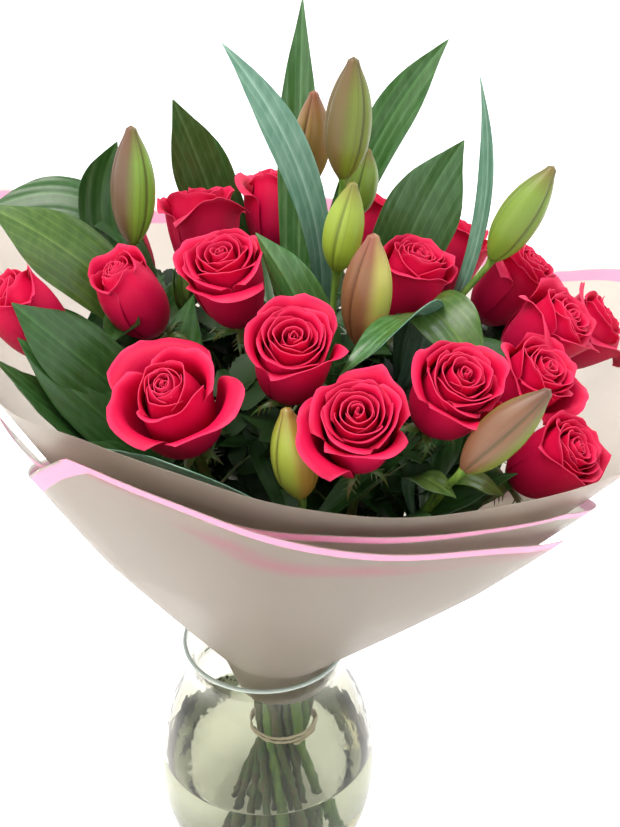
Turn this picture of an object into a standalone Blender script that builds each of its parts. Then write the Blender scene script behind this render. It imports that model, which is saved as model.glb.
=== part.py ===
"""Hand-tied bouquet of roses and budding lilies, wrapped in frosted film and standing in a glass vase of water.

The origin is the centre of the vase's foot, +Z is up, and -Y is the side that faces a viewer.
Tables give places in millimetres; everything that is built is in metres.
"""

import math

import bmesh
import bpy
import numpy as np
from mathutils import Quaternion, Vector

MM = 0.001
GAP = 0.35 * MM

# Vase: outer and inner radius against height, in millimetres
VASE_OUTSIDE = [(0, 46), (3, 50), (18, 63), (45, 75.5), (88, 81), (120, 78), (146, 69), (172, 53.5), (188, 54), (205, 60)]
VASE_WALL = 3.0
VASE_FLOOR = 9.0
VASE_SIDES = 24
VASE_HEIGHT = VASE_OUTSIDE[-1][0]
VASE_LEVELS = [20, 46, 80, 112, 140, 160, 175, 190]
VASE_FOOT_TURN = 4.0
VASE_LIP_TURN = 1.5
WATER_LEVEL = 106.0

# Bundle: where the twine holds the stems, and where they stand on the vase's floor
TIE_CENTRE = (12.0, 0.0)
TIE_HEIGHT = 124.0
FOOT_CENTRE = (3.0, 0.0)
FOOT_SPREAD = 2.0
HEADS_CENTRE = (25.0, -5.0)
HEADS_SHRINK = 0.13
SPIRAL = math.radians(60)
FOOT_LIFT = 0.35
ROSE_STEM = 3.0
LILY_STEM = 3.8
STEM_CLEARANCE = 0.7
STEM_LEAN = 0.8
STEM_RISE = 1.5
STEM_PULL = 0.33
HEAD_PULL = 0.4
PACKING_ROUNDS = 900
DRAWING_ROUNDS = 800
DRAWN_TOGETHER = 0.994
HOLE_CLEARANCE = 0.5
HOLE_OVERSHOOT = 12.0
TWINE = 1.3
TWINE_CLEARANCE = 0.9
TWINE_TURNS = 2.2
TWINE_STEPS = 13
TWINE_PITCH = 3.6
TWINE_START = -1.2

# Roses: centre of the head (mm), compass bearing and tilt of its axis (degrees), width (mm), turn (degrees)
ROSES = [
    ((-132, -40, 476), 195, 34, 50, 10),
    ((-72, -25, 482), 200, 26, 49, 75),
    ((-38, 72, 484), 115, 16, 54, 140),
    ((-14, -30, 493), 240, 20, 51, 200),
    ((10, 108, 486), 75, 18, 50, 265),
    ((22, -104, 480), 280, 26, 50, 330),
    ((-38, -126, 462), 250, 30, 56, 35),
    ((57, -146, 461), 268, 32, 50, 100),
    ((106, -120, 468), 300, 34, 50, 165),
    ((90, -18, 487), 340, 18, 48, 230),
    ((126, 76, 464), 25, 29, 50, 290),
    ((156, 12, 472), 0, 40, 48, 355),
    ((170, -34, 462), 345, 46, 48, 60),
    ((200, 4, 444), 3, 52, 46, 125),
    ((153, -76, 450), 325, 40, 48, 190),
    ((164, -115, 424), 322, 46, 48, 250),
    ((-95, 92, 458), 140, 34, 50, 315),
    ((72, 132, 460), 65, 28, 50, 20),
]
# Tight green rosebuds on side shoots: the rose whose stem carries them, then foot and tip of the bud
ROSEBUDS = {3: ((-46, 14, 458), (-46, 14, 488)), 4: ((17, -14, 476), (18, -14, 502))}
ROSE_STEM_SAMPLES = 4
ROSE_NECK = 13.0

# A head is as high as BLOOM_HEIGHT times its width. Its rows are the height and radius as shares of the head's
# height and half width, how far the petals' free edges stand out there, and how many petals go round.
BLOOM_HEIGHT = 1.14
BLOOM_ROWS = [
    (0.00, 0.24, 0.0, 5), (0.17, 0.76, 0.1, 5), (0.52, 0.98, 0.5, 5), (0.88, 1.03, 1.0, 5), (0.875, 0.96, 1.0, 5),
    (0.66, 0.80, 0.3, 5), (0.95, 0.76, 0.9, 3), (0.945, 0.69, 0.9, 3), (0.78, 0.52, 0.3, 3),
    (0.99, 0.46, 0.8, 3), (0.985, 0.39, 0.8, 3), (0.84, 0.20, 0.2, 3),
]
HEART_HEIGHT = 0.86
MIDDLE_LAYER = 6
INNER_LAYER = 9
LAYER_TURNS = (0.5, 0.4)
PETAL_COLUMNS = 15
PETAL_OVERLAP = 0.09
PETAL_LOBE = 0.055
PETAL_DROP = 0.03
LOBE_SHARE = 1.15
PETAL_REACH = 1.06

# The calyx under a head, as (distance below it, radius), and its sepals: how far below the head and out from its
# axis each starts, how far below and at what share of its length it bends, and how far its tip drops
CALYX = [(ROSE_NECK, 2.6), (7.0, 4.8), (2.5, 5.6), (GAP / MM, 4.6)]
SEPAL_LENGTH = 21.0
SEPAL_ROOT = (4.5, 2.0)
SEPAL_KNEE = (3.0, 0.55)
SEPAL_DROP = 0.35
SEPAL_HALVES = (2.6, 2.2)
SEPAL_DEPTH = 1.1
SIDE_SHOOT = 0.75
SIDE_BUD_KNOTS = (0.35, 0.7)
SIDE_BUD_RADII = (1.4, 1.4, 2.4, 5.6, 4.4, 0.8)

# Lilies: top of the stem (mm), compass bearing and tilt of its lean (degrees), buds as (foot, tip, width),
# and leaves as (share of the stem where it grows, middle, tip, width, way across, fold, outline)
LILIES = [
    dict(
        top=(50, 14, 520),
        lean=(0, 8),
        buds=[((52, 0, 549), (57, 0, 619), 26), ((30, 38, 530), (35, 30, 592), 22), ((62, 42, 510), (68, 40, 554), 19)],
        leaves=[
            (0.55, (26, 72, 540), (28, 74, 636), 28, (0.9, -0.4, 0.0), 0.35, "strap"),
            (0.70, (84, 68, 565), (116, 62, 614), 27, (0.8, -0.3, -0.4), 0.25, "strap"),
            (0.80, (20, 8, 566), (-18, 20, 622), 22, (0.8, 0.1, 0.5), 0.15, "strap"),
            (0.45, (-38, 114, 506), (-56, 96, 568), 40, (0.9, 0.2, 0.2), 0.15, "broad"),
        ],
    ),
    dict(
        top=(46, -38, 472),
        lean=(300, 12),
        buds=[((48, -30, 503), (57, -30, 557), 22), ((62, -70, 474), (67, -70, 542), 27)],
        leaves=[
            (0.7, (26, -58, 496), (2, -44, 532), 32, (0.8, -0.4, 0.4), -0.35, "broad"),
        ],
    ),
    dict(
        top=(-76, 18, 485),
        lean=(170, 18),
        buds=[((-77, 20, 500), (-73, 20, 574), 26)],
        leaves=[
            (0.76, (-108, -4, 500), (-160, 0, 532), 44, (0.4, 0.6, 0.6), -0.2, "broad"),
            (0.82, (-124, 52, 520), (-172, 46, 512), 30, (0.1, 0.8, 0.6), -0.2, "broad"),
            (0.88, (-98, 46, 522), (-86, 46, 556), 30, (1.0, 0.2, 0.0), 0.2, "broad"),
            (0.60, (-98, -66, 463), (-135, -64, 498), 36, (0.5, 0.6, 0.5), 0.12, "broad"),
            (0.48, (-98, -84, 425), (-142, -92, 478), 36, (-0.2, 0.8, 0.1), 0.1, "broad"),
        ],
    ),
    dict(
        top=(118, -20, 478),
        lean=(355, 24),
        buds=[((140, -18, 505), (171, -18, 562), 24)],
        leaves=[
            (0.86, (136, 0, 535), (130, 16, 604), 15, (0.5, -0.9, 0.0), 0.2, "strap"),
            (0.66, (98, 30, 508), (126, 36, 560), 50, (0.9, 0.1, -0.4), 0.12, "broad"),
            (0.75, (82, -92, 500), (48, -118, 480), 28, (0.9, 0.0, 0.4), -0.3, "strap"),
            (0.80, (106, -72, 492), (129, -98, 464), 36, (0.8, 0.4, 0.2), -0.3, "broad"),
        ],
    ),
    dict(
        top=(26, -134, 400),
        lean=(266, 26),
        buds=[((28, -142, 420), (20, -142, 475), 24)],
        leaves=[
            (0.76, (-20, -163, 440), (-78, -145, 452), 32, (-0.2, -0.5, 0.9), 0.08, "broad"),
        ],
    ),
    dict(
        top=(106, -126, 414),
        lean=(307, 30),
        buds=[((112, -157, 446), (153, -154, 492), 23)],
        leaves=[
            (0.88, (96, -138, 428), (110, -150, 424), 16, (0.9, 0.3, 0.1), -0.2, "broad"),
            (0.92, (122, -138, 430), (138, -136, 416), 20, (-0.3, -0.9, 0.1), -0.2, "broad"),
        ],
    ),
]
LILY_STEM_SAMPLES = 5
LILY_STEM_TOP = 3.0
STALK_ROOTS = (0.99, 0.84, 0.78)
STALK_COLLAR = 5.0
STALK_SAG = 2.0
STALK_RADII = (2.2, 2.0, 2.0, 3.0)
BUD_SECTION = (0.86, 1.0, 1.05, 1.0)
BUD_PROFILE = [(0.0, 0.28), (0.12, 0.7), (0.38, 1.0), (0.7, 0.78), (0.92, 0.32)]
LEAF_OUTLINE = {
    "broad": [(0.0, 0.14), (0.28, 0.45), (0.48, 0.9), (0.66, 1.0), (0.83, 0.7), (0.94, 0.3), (1.0, 0.07)],
    "strap": [(0.0, 0.3), (0.28, 0.68), (0.55, 1.0), (0.78, 0.72), (0.91, 0.36), (1.0, 0.07)],
}
BLADE = 0.9

# Film: rim as (bearing, radius, height) round RIM_CENTRE, and the rings (x, y, radius, height) where it
# starts in the vase's neck and passes its lip
RIM_CENTRE = (20.0, -5.0)
RIM = [
    (0, 250, 474), (20, 240, 458), (38, 215, 436), (60, 200, 455), (90, 195, 470), (115, 196, 464), (135, 202, 480),
    (155, 210, 512), (175, 208, 520), (195, 200, 490), (212, 192, 466), (238, 190, 469), (255, 190, 463),
    (270, 190, 450), (285, 190, 438), (302, 209, 441), (318, 234, 449), (340, 250, 458),
]
FILM_FOOT = (11.5, -3.5, 30.0, 174.0)
FILM_LIP = (10.8, -6.2, 39.9, 207.5)
FILM_NECK = 0.12
FILM_BELLY = 2.0
FILM_THICKNESS = 0.8
FILM_STEP = 1.7
FILM_PARTING = 8.0
FILM_PARTED = 0.45
FILM_ROWS = (0.0, FILM_NECK, 0.25, 0.6, 1.0)
FILM_COLUMNS = 32
SHEET_COLUMNS = 16

# Two more sheets over the front: bearings of the left and right edge at foot and top, and the top's share of
# the way to the rim, from left to right
MIDDLE_SHEET = dict(left=(190, 205), right=(350, 312), top=[(0.0, 0.88), (0.5, 0.92), (0.8, 0.96), (1.0, 0.93)])
OUTER_TOP = [(0.0, 0.99), (0.33, 0.94), (0.7, 0.86), (0.83, 0.76), (1.0, 0.66)]
OUTER_SHEET = dict(left=(180, 235), right=(350, 338), top=OUTER_TOP)


def clear_scene():
    for thing in list(bpy.data.objects):
        bpy.data.objects.remove(thing)


def painted(name, colour, roughness, metallic=0.0, transmission=0.0):
    material = bpy.data.materials.new(name)
    material.use_nodes = True
    surface = material.node_tree.nodes["Principled BSDF"]
    surface.inputs["Base Color"].default_value = (*colour, 1.0)
    surface.inputs["Roughness"].default_value = roughness
    surface.inputs["Metallic"].default_value = metallic
    surface.inputs["Transmission Weight"].default_value = transmission
    return material


def smooth(table, at):
    """A smooth value between the rows of a table of (place, value), by cubic steps."""
    places = [row[0] for row in table]
    values = [row[1] for row in table]
    slopes = np.gradient(values, places)
    i = min(max(int(np.searchsorted(places, at)) - 1, 0), len(places) - 2)
    span = places[i + 1] - places[i]
    t = min(max((at - places[i]) / span, 0.0), 1.0)
    return (
        values[i] * (2 * t**3 - 3 * t**2 + 1)
        + values[i + 1] * (3 * t**2 - 2 * t**3)
        + span * (slopes[i] * (t**3 - 2 * t**2 + t) + slopes[i + 1] * (t**3 - t**2))
    )


def bezier(a, b, c, d, t):
    return a * (1 - t) ** 3 + b * 3 * t * (1 - t) ** 2 + c * 3 * t**2 * (1 - t) + d * t**3


def direction(bearing, tilt):
    """The unit vector that leans tilt degrees from upright, towards a compass bearing counted from +X."""
    b, t = math.radians(bearing), math.radians(tilt)
    return Vector((math.sin(t) * math.cos(b), math.sin(t) * math.sin(b), math.cos(t)))


def mesh_object(name, points, faces, material):
    mesh = bpy.data.meshes.new(name)
    mesh.from_pydata([tuple(p) for p in points], [], faces)
    work = bmesh.new()
    work.from_mesh(mesh)
    bmesh.ops.recalc_face_normals(work, faces=work.faces)
    work.to_mesh(mesh)
    work.free()
    mesh.materials.append(material)
    mesh.shade_smooth()
    mesh.set_sharp_from_angle(angle=math.radians(50))
    thing = bpy.data.objects.new(name, mesh)
    bpy.context.scene.collection.objects.link(thing)
    return thing


def skin(name, rings, material, pole=None):
    """A closed body through rings of equal count, with a flat first end and a flat end or a pole at the last."""
    count = len(rings[0])
    points = [p for ring in rings for p in ring]
    faces = [tuple(range(count))]
    for row in range(len(rings) - 1):
        for i in range(count):
            j = (i + 1) % count
            faces.append((row * count + i, row * count + j, (row + 1) * count + j, (row + 1) * count + i))
    last = (len(rings) - 1) * count
    if pole is None:
        faces.append(tuple(range(last, last + count)))
    else:
        points.append(pole)
        faces += [(last + i, last + (i + 1) % count, len(points) - 1) for i in range(count)]
    return mesh_object(name, points, faces, material)


def slab(name, grid, thickness, material, closed=False):
    """A blade or sheet of even thickness about a grid of points, each cell split along its shorter diagonal."""
    rows, columns = len(grid), len(grid[0])
    around = columns if closed else columns - 1
    upper, lower = [], []
    for r in range(rows):
        for c in range(columns):
            along = grid[min(r + 1, rows - 1)][c] - grid[max(r - 1, 0)][c]
            if closed:
                across = grid[r][(c + 1) % columns] - grid[r][c - 1]
            else:
                across = grid[r][min(c + 1, columns - 1)] - grid[r][max(c - 1, 0)]
            normal = along.cross(across).normalized() * thickness / 2
            upper.append(grid[r][c] + normal)
            lower.append(grid[r][c] - normal)
    under = rows * columns
    faces = []
    for r in range(rows - 1):
        for c in range(around):
            d = (c + 1) % columns
            a, b, e, f = r * columns + c, r * columns + d, (r + 1) * columns + d, (r + 1) * columns + c
            if (grid[r][c] - grid[r + 1][d]).length < (grid[r][d] - grid[r + 1][c]).length:
                halves = [(a, b, e), (a, e, f)]
            else:
                halves = [(a, b, f), (b, e, f)]
            faces += halves + [(under + k, under + j, under + i) for i, j, k in halves]
    edge = [(c, (c + 1) % columns) for c in range(around)]
    edge += [((rows - 1) * columns + b, (rows - 1) * columns + a) for a, b in edge]
    if not closed:
        edge += [(r * columns + columns - 1, (r + 1) * columns + columns - 1) for r in range(rows - 1)]
        edge += [((r + 1) * columns, r * columns) for r in range(rows - 1)]
    faces += [(b, a, under + a, under + b) for a, b in edge]
    return mesh_object(name, upper + lower, faces, material)


def tube(name, points, radii, material, resolution=1):
    """A round stem along points, with a radius at each, from a bevelled curve."""
    curve = bpy.data.curves.new(name, "CURVE")
    curve.dimensions = "3D"
    curve.bevel_depth = 1.0
    curve.bevel_resolution = resolution
    curve.use_fill_caps = True
    spline = curve.splines.new("POLY")
    spline.points.add(len(points) - 1)
    for knot, place, radius in zip(spline.points, points, radii):
        knot.co = (*place, 1.0)
        knot.radius = radius
    guide = bpy.data.objects.new(name, curve)
    bpy.context.scene.collection.objects.link(guide)
    mesh = bpy.data.meshes.new_from_object(guide.evaluated_get(bpy.context.evaluated_depsgraph_get()))
    bpy.data.objects.remove(guide)
    work = bmesh.new()
    work.from_mesh(mesh)
    bmesh.ops.remove_doubles(work, verts=work.verts, dist=0.001 * MM)
    faces = [[v.index for v in f.verts] for f in work.faces]
    places = [v.co.copy() for v in work.verts]
    work.free()
    return mesh_object(name, places, faces, material)


def boolean(thing, others, operation, solver="EXACT"):
    """Joins others to a body, or cuts them from it, by one Boolean on a collection, and removes them."""
    group = bpy.data.collections.new("with " + thing.name)
    for other in others:
        group.objects.link(other)
    modifier = thing.modifiers.new("boolean", "BOOLEAN")
    modifier.operand_type = "COLLECTION"
    modifier.collection = group
    modifier.operation = operation
    modifier.solver = solver
    mesh = bpy.data.meshes.new_from_object(thing.evaluated_get(bpy.context.evaluated_depsgraph_get()))
    thing.modifiers.clear()
    thing.data = mesh
    for other in others:
        bpy.data.objects.remove(other)
    bpy.data.collections.remove(group)
    return thing


def lathe(name, profile, material, sides=VASE_SIDES):
    """A turned body from (height, radius) rows in millimetres, up the outside and, for a hollow one, down the inside."""
    rings = []
    for height, radius in profile:
        turn = [2 * math.pi * i / sides for i in range(sides)]
        rings.append([Vector((radius * math.cos(a), radius * math.sin(a), height)) * MM for a in turn])
    return skin(name, rings, material)


def vase_inside(height):
    """Inner radius of the vase at a height, in millimetres."""
    return smooth(VASE_OUTSIDE, height) - VASE_WALL


def make_vase():
    """The vase, with its foot turned under and its lip turned in a little."""
    outside = [0, VASE_FOOT_TURN] + VASE_LEVELS + [VASE_HEIGHT]
    inside = [VASE_HEIGHT - VASE_LIP_TURN] + VASE_LEVELS[::-1] + [VASE_FLOOR]
    profile = [(z, smooth(VASE_OUTSIDE, z)) for z in outside] + [(z, vase_inside(z)) for z in inside]
    return lathe("vase", profile, GLASS)


def packed(starts, radii):
    """Places of the stems in the tie, in millimetres round its centre: drawn together until they touch, in order."""
    places = np.array(starts, float)
    need = np.add.outer(radii, radii) + STEM_CLEARANCE
    for step in range(PACKING_ROUNDS):
        if step < DRAWING_ROUNDS:
            places *= DRAWN_TOGETHER
        for i in range(len(places)):
            for j in range(i):
                apart = places[i] - places[j]
                distance = max(math.hypot(*apart), 0.01)
                short = need[i, j] - distance
                if short > 0:
                    places[i] += apart / distance * short / 2
                    places[j] -= apart / distance * short / 2
    return places


def turned(place, angle):
    c, s = math.cos(angle), math.sin(angle)
    return (place[0] * c - place[1] * s, place[0] * s + place[1] * c)


def stem_starts(heads):
    """Each stem's foot on the vase floor and its place in the tie, as vectors in metres."""
    radii = [radius for _, _, radius in heads]
    starts = []
    for head, _, _ in heads:
        inward = ((head[0] - HEADS_CENTRE[0]) * HEADS_SHRINK, (head[1] - HEADS_CENTRE[1]) * HEADS_SHRINK)
        starts.append(turned(inward, SPIRAL))
    result = []
    for place, radius in zip(packed(starts, radii), radii):
        tie = Vector((TIE_CENTRE[0] + place[0], TIE_CENTRE[1] + place[1], TIE_HEIGHT)) * MM
        spread = turned(place * FOOT_SPREAD, SPIRAL)
        foot_height = VASE_FLOOR + GAP / MM + FOOT_LIFT * radius
        foot = Vector((FOOT_CENTRE[0] + spread[0], FOOT_CENTRE[1] + spread[1], foot_height)) * MM
        result.append((foot, tie))
    return result


def stem_path(foot, tie, head, axis, samples):
    """Points from the foot through the tie to the head, which the stem meets along the head's axis."""
    length = (head - tie).length
    rise = (tie - foot).normalized()
    first = tie + (rise + Vector((0, 0, STEM_RISE))).normalized() * length * STEM_PULL
    second = head - axis * length * HEAD_PULL
    return [foot, tie] + [bezier(tie, first, second, head, (i + 1) / samples) for i in range(samples)]


def bloom(name, width, turn):
    """A rose: petals in three overlapping layers round a wound heart, each layer a wall that rises from a valley."""
    radius = width / 2 / PETAL_REACH * MM
    height = width * BLOOM_HEIGHT * MM
    rings = []
    for level, (up, out, roll, petals) in enumerate(BLOOM_ROWS):
        shift = LAYER_TURNS[0] * (level >= MIDDLE_LAYER) + LAYER_TURNS[1] * (level >= INNER_LAYER)
        ring = []
        for i in range(PETAL_COLUMNS):
            share = (i * petals / PETAL_COLUMNS + shift) % 1.0
            overlap = PETAL_OVERLAP * roll * (share - 0.5)
            lobe = PETAL_LOBE * roll * math.sin(math.pi * min(share * LOBE_SHARE, 1.0))
            angle = 2 * math.pi * i / PETAL_COLUMNS + math.radians(turn)
            r = radius * out * (1 + overlap)
            rise = height * (up + lobe - PETAL_DROP * roll)
            ring.append(Vector((r * math.cos(angle), r * math.sin(angle), rise)))
        rings.append(ring)
    return skin(name, rings, PETAL, pole=Vector((0, 0, HEART_HEIGHT * height)))


def sepal(head, axis, side):
    """A pointed three-sided sepal that leaves the calyx sideways and turns down."""
    across = axis.cross(side).normalized() * MM
    down, out = -axis * MM, side * MM
    start = head + down * SEPAL_ROOT[0] + out * SEPAL_ROOT[1]
    knee = head + down * SEPAL_KNEE[0] + out * SEPAL_LENGTH * SEPAL_KNEE[1]
    end = head + down * (SEPAL_KNEE[0] + SEPAL_LENGTH * SEPAL_DROP) + out * SEPAL_LENGTH
    rings = []
    for place, half in zip((start, knee), SEPAL_HALVES):
        rings.append([place - across * half, place + across * half, place + down * SEPAL_DEPTH])
    return skin("sepal", rings, LEAF, pole=end)


def leaf(root, middle, tip, width, across, fold, outline):
    """A pointed blade from its root through its middle to its tip, folded along the midrib."""
    bow = middle * 2 - (root + tip) / 2
    rows = []
    for t, wide in LEAF_OUTLINE[outline]:
        place = root * (1 - t) ** 2 + bow * 2 * t * (1 - t) + tip * t**2
        along = ((bow - root) * (1 - t) + (tip - bow) * t).normalized()
        side = (across - along * across.dot(along)).normalized()
        up = side.cross(along)
        half = wide * width / 2
        rows.append([place + side * half * s + up * half * fold * abs(s) for s in (-1, 0, 1)])
    return slab("leaf", rows, BLADE * MM, LEAF)


def rosebud(root, foot, tip):
    """A side shoot that ends in a tight green bud."""
    foot, tip = Vector(foot) * MM, Vector(tip) * MM
    knots = [root, root.lerp(foot, 0.6), foot] + [foot.lerp(tip, share) for share in SIDE_BUD_KNOTS] + [tip]
    return tube("rosebud", knots, [radius * MM for radius in SIDE_BUD_RADII], LEAF)


def path_point(path, share):
    """The point at a share of the way from the tie to the top of a stem."""
    upper = path[1:]
    lengths = [(b - a).length for a, b in zip(upper, upper[1:])]
    left = share * sum(lengths)
    for a, b, length in zip(upper, upper[1:], lengths):
        if left <= length:
            return a.lerp(b, left / length)
        left -= length
    return upper[-1]


def make_rose(number, start, spec):
    """One rose: its stem with calyx, sepals and a leaf, and its bloom on top."""
    centre, bearing, tilt, width, turn = spec
    axis = direction(bearing, tilt)
    head = Vector(centre) * MM - axis * width * BLOOM_HEIGHT / 2 * MM
    foot, tie = start
    calyx = [head - axis * drop * MM for drop, _ in CALYX]
    path = stem_path(foot, tie, calyx[0], direction(bearing, tilt * STEM_LEAN), ROSE_STEM_SAMPLES)
    radii = [ROSE_STEM * MM] * (len(path) - 1) + [radius * MM for _, radius in CALYX]
    path += calyx[1:]
    stem = tube(f"rose_stem_{number:02d}", path, radii, LEAF)
    side = axis.orthogonal().normalized()
    parts = []
    for i in range(5):
        aim = Quaternion(axis, math.radians(72 * i + turn)) @ side
        parts.append(sepal(head, axis, aim))
    if number in ROSEBUDS:
        parts.append(rosebud(path_point(path, SIDE_SHOOT), *ROSEBUDS[number]))
    boolean(stem, parts, "UNION")
    flower = bloom(f"rose_bloom_{number:02d}", width, turn)
    flower.location = head
    flower.rotation_mode = "QUATERNION"
    flower.rotation_quaternion = axis.to_track_quat("Z", "Y")


def lily_bud(name, foot, tip, width):
    """A closed lily bud of three tepals with a groove at each seam."""
    axis = (tip - foot).normalized()
    length = (tip - foot).length
    turn = axis.to_track_quat("Z", "Y")
    rings = []
    count = 3 * len(BUD_SECTION)
    for up, out in BUD_PROFILE:
        ring = []
        for i in range(count):
            angle = 2 * math.pi * i / count
            r = width / 2 * out * BUD_SECTION[i % len(BUD_SECTION)]
            ring.append(foot + turn @ Vector((r * math.cos(angle), r * math.sin(angle), up * length)))
        rings.append(ring)
    return skin(name, rings, BUD, pole=tip)


def make_lily(number, start, spec, bud_number):
    """One lily: its stem with leaves and bud stalks, and its buds."""
    foot, tie = start
    top = Vector(spec["top"]) * MM
    path = stem_path(foot, tie, top, direction(*spec["lean"]), LILY_STEM_SAMPLES)
    radii = [LILY_STEM * MM] * (len(path) - 1) + [LILY_STEM_TOP * MM]
    stem = tube(f"lily_stem_{number:02d}", path, radii, LEAF)
    parts = []
    for at, (place, tip, width) in enumerate(spec["buds"]):
        bud_foot = Vector(place) * MM
        bud_tip = Vector(tip) * MM
        bud_axis = (bud_tip - bud_foot).normalized()
        root = path_point(path, STALK_ROOTS[at])
        collar = bud_foot - bud_axis * STALK_COLLAR * MM
        bend = root.lerp(collar, 0.55) - bud_axis * STALK_SAG * MM
        stalk = [root, bend, collar, bud_foot - bud_axis * GAP]
        parts.append(tube("stalk", stalk, [radius * MM for radius in STALK_RADII], LEAF))
        lily_bud(f"lily_bud_{bud_number + at:02d}", bud_foot, bud_tip, width * MM)
    for share, middle, tip, width, across, fold, outline in spec["leaves"]:
        root = path_point(path, share)
        parts.append(leaf(root, Vector(middle) * MM, Vector(tip) * MM, width * MM, Vector(across), fold, outline))
    boolean(stem, parts, "UNION")
    return bud_number + len(spec["buds"])


def make_water(starts, radii):
    """Water in the vase, with a plain hole for each stem."""
    clear = GAP / MM
    wall = [VASE_FLOOR] + VASE_LEVELS
    heights = [VASE_FLOOR + clear] + [z for z in VASE_LEVELS if z < WATER_LEVEL] + [WATER_LEVEL]
    profile = [(z, float(np.interp(z, wall, [vase_inside(w) for w in wall])) - clear) for z in heights]
    water = lathe("water", profile, WATER)
    cutters = []
    for (foot, tie), radius in zip(starts, radii):
        way = (tie - foot).normalized()
        ends = [foot - way * HOLE_OVERSHOOT * MM, tie]
        cutters.append(tube("hole", ends, [(radius + HOLE_CLEARANCE) * MM] * 2, WATER))
    return boolean(water, cutters, "DIFFERENCE")


def make_twine(starts, radii):
    """The twine round the bundle: two and a bit turns, with its ends standing off at the knot."""
    centre = Vector((*TIE_CENTRE, TIE_HEIGHT)) * MM
    reach = max((tie - centre).length + r * MM for (_, tie), r in zip(starts, radii))
    ring = reach + (TWINE + TWINE_CLEARANCE) * MM
    points = []
    steps = int(TWINE_TURNS * TWINE_STEPS)
    for i in range(steps + 1):
        angle = 2 * math.pi * TWINE_TURNS * i / steps + TWINE_START
        lift = TWINE_PITCH * TWINE_TURNS * (i / steps - 0.5)
        points.append(centre + Vector((ring * math.cos(angle), ring * math.sin(angle), lift * MM)))
    return tube("twine", points, [TWINE * MM] * len(points), TWINE_FIBRE)


def rim_table(column):
    """The rim's rows of (bearing, value of that column), with one row more before 0 and two after 360 degrees."""
    rows = [(row[0], row[column]) for row in RIM]
    return [(rows[-1][0] - 360, rows[-1][1])] + rows + [(rows[i][0] + 360, rows[i][1]) for i in (0, 1)]


def rim_point(bearing):
    radius = smooth(rim_table(1), bearing % 360)
    height = smooth(rim_table(2), bearing % 360)
    angle = math.radians(bearing)
    return Vector((RIM_CENTRE[0] + radius * math.cos(angle), RIM_CENTRE[1] + radius * math.sin(angle), height))


def film_point(bearing, share, outward):
    """A point on the wrapping cone, in millimetres: share 0 at its foot, FILM_NECK at the lip and 1 at the rim."""
    angle = math.radians(bearing)
    ring = Vector((math.cos(angle), math.sin(angle), 0))
    clear = outward * (1 + FILM_PARTING * min(max(share - FILM_NECK, 0), FILM_PARTED))
    foot = Vector((FILM_FOOT[0], FILM_FOOT[1], FILM_FOOT[3])) + ring * (FILM_FOOT[2] + clear)
    lip = Vector((FILM_LIP[0], FILM_LIP[1], FILM_LIP[3])) + ring * (FILM_LIP[2] + clear)
    rim = rim_point(bearing) + ring * clear
    if share < FILM_NECK:
        return foot.lerp(lip, share / FILM_NECK)
    t = (share - FILM_NECK) / (1 - FILM_NECK)
    belly = (ring - Vector((0, 0, 1))) * FILM_BELLY * 4 * t * (1 - t)
    return lip.lerp(rim, t) + belly


def film_sheet(name, left, right, top, outward, columns):
    """A sheet laid on the cone between two edges, whose bearings shift from its foot to its top."""
    grid = []
    for level in FILM_ROWS:
        row = []
        for c in range(columns):
            a = c / (columns - 1)
            high = smooth(top, a)
            share = level if level <= FILM_NECK else level * high
            lean = share / high
            start = left[0] + (left[1] - left[0]) * lean
            end = right[0] + (right[1] - right[0]) * lean
            row.append(film_point(start + (end - start) * a, share, outward) * MM)
        grid.append(row)
    return slab(name, grid, FILM_THICKNESS * MM, FILM)


def make_film():
    """The wrapping: one sheet all round, and two more laid over its front."""
    cone = []
    for share in FILM_ROWS:
        cone.append([film_point(360 * c / FILM_COLUMNS, share, 0.0) * MM for c in range(FILM_COLUMNS)])
    slab("film_main", cone, FILM_THICKNESS * MM, FILM, closed=True)
    film_sheet("film_middle", outward=FILM_STEP, columns=SHEET_COLUMNS, **MIDDLE_SHEET)
    film_sheet("film_outer", outward=2 * FILM_STEP, columns=SHEET_COLUMNS, **OUTER_SHEET)


def build():
    clear_scene()
    heads = []
    for centre, bearing, tilt, width, _ in ROSES:
        head = Vector(centre) - direction(bearing, tilt) * width * BLOOM_HEIGHT / 2
        heads.append((head, direction(bearing, tilt), ROSE_STEM))
    for spec in LILIES:
        heads.append((Vector(spec["top"]), Vector((0, 0, 1)), LILY_STEM))
    starts = stem_starts(heads)
    radii = [radius for _, _, radius in heads]
    make_vase()
    make_water(starts, radii)
    for i, spec in enumerate(ROSES):
        make_rose(i + 1, starts[i], spec)
    bud_number = 1
    for i, spec in enumerate(LILIES):
        bud_number = make_lily(i + 1, starts[len(ROSES) + i], spec, bud_number)
    make_twine(starts, radii)
    make_film()


GLASS = painted("clear_glass", (0.86, 0.92, 0.89), 0.02, transmission=1.0)
WATER = painted("water", (0.9, 0.95, 0.93), 0.0, transmission=1.0)
PETAL = painted("rose_petal", (0.72, 0.01, 0.06), 0.5)
LEAF = painted("leaf_green", (0.05, 0.13, 0.03), 0.45)
BUD = painted("lily_bud_green", (0.25, 0.32, 0.05), 0.45)
TWINE_FIBRE = painted("twine", (0.6, 0.55, 0.42), 0.9)
FILM = painted("frosted_film", (0.8, 0.78, 0.76), 0.6)

build()
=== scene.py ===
"""The looks of a hand-tied bouquet of roses and budding lilies, in frosted film and a glass vase of water.

Tables give places in millimetres, as the solids' own tables do, and the meshes are in metres. A bearing is
counted in degrees from +X towards +Y, and a tilt is counted from upright.
"""

import math
import random

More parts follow.
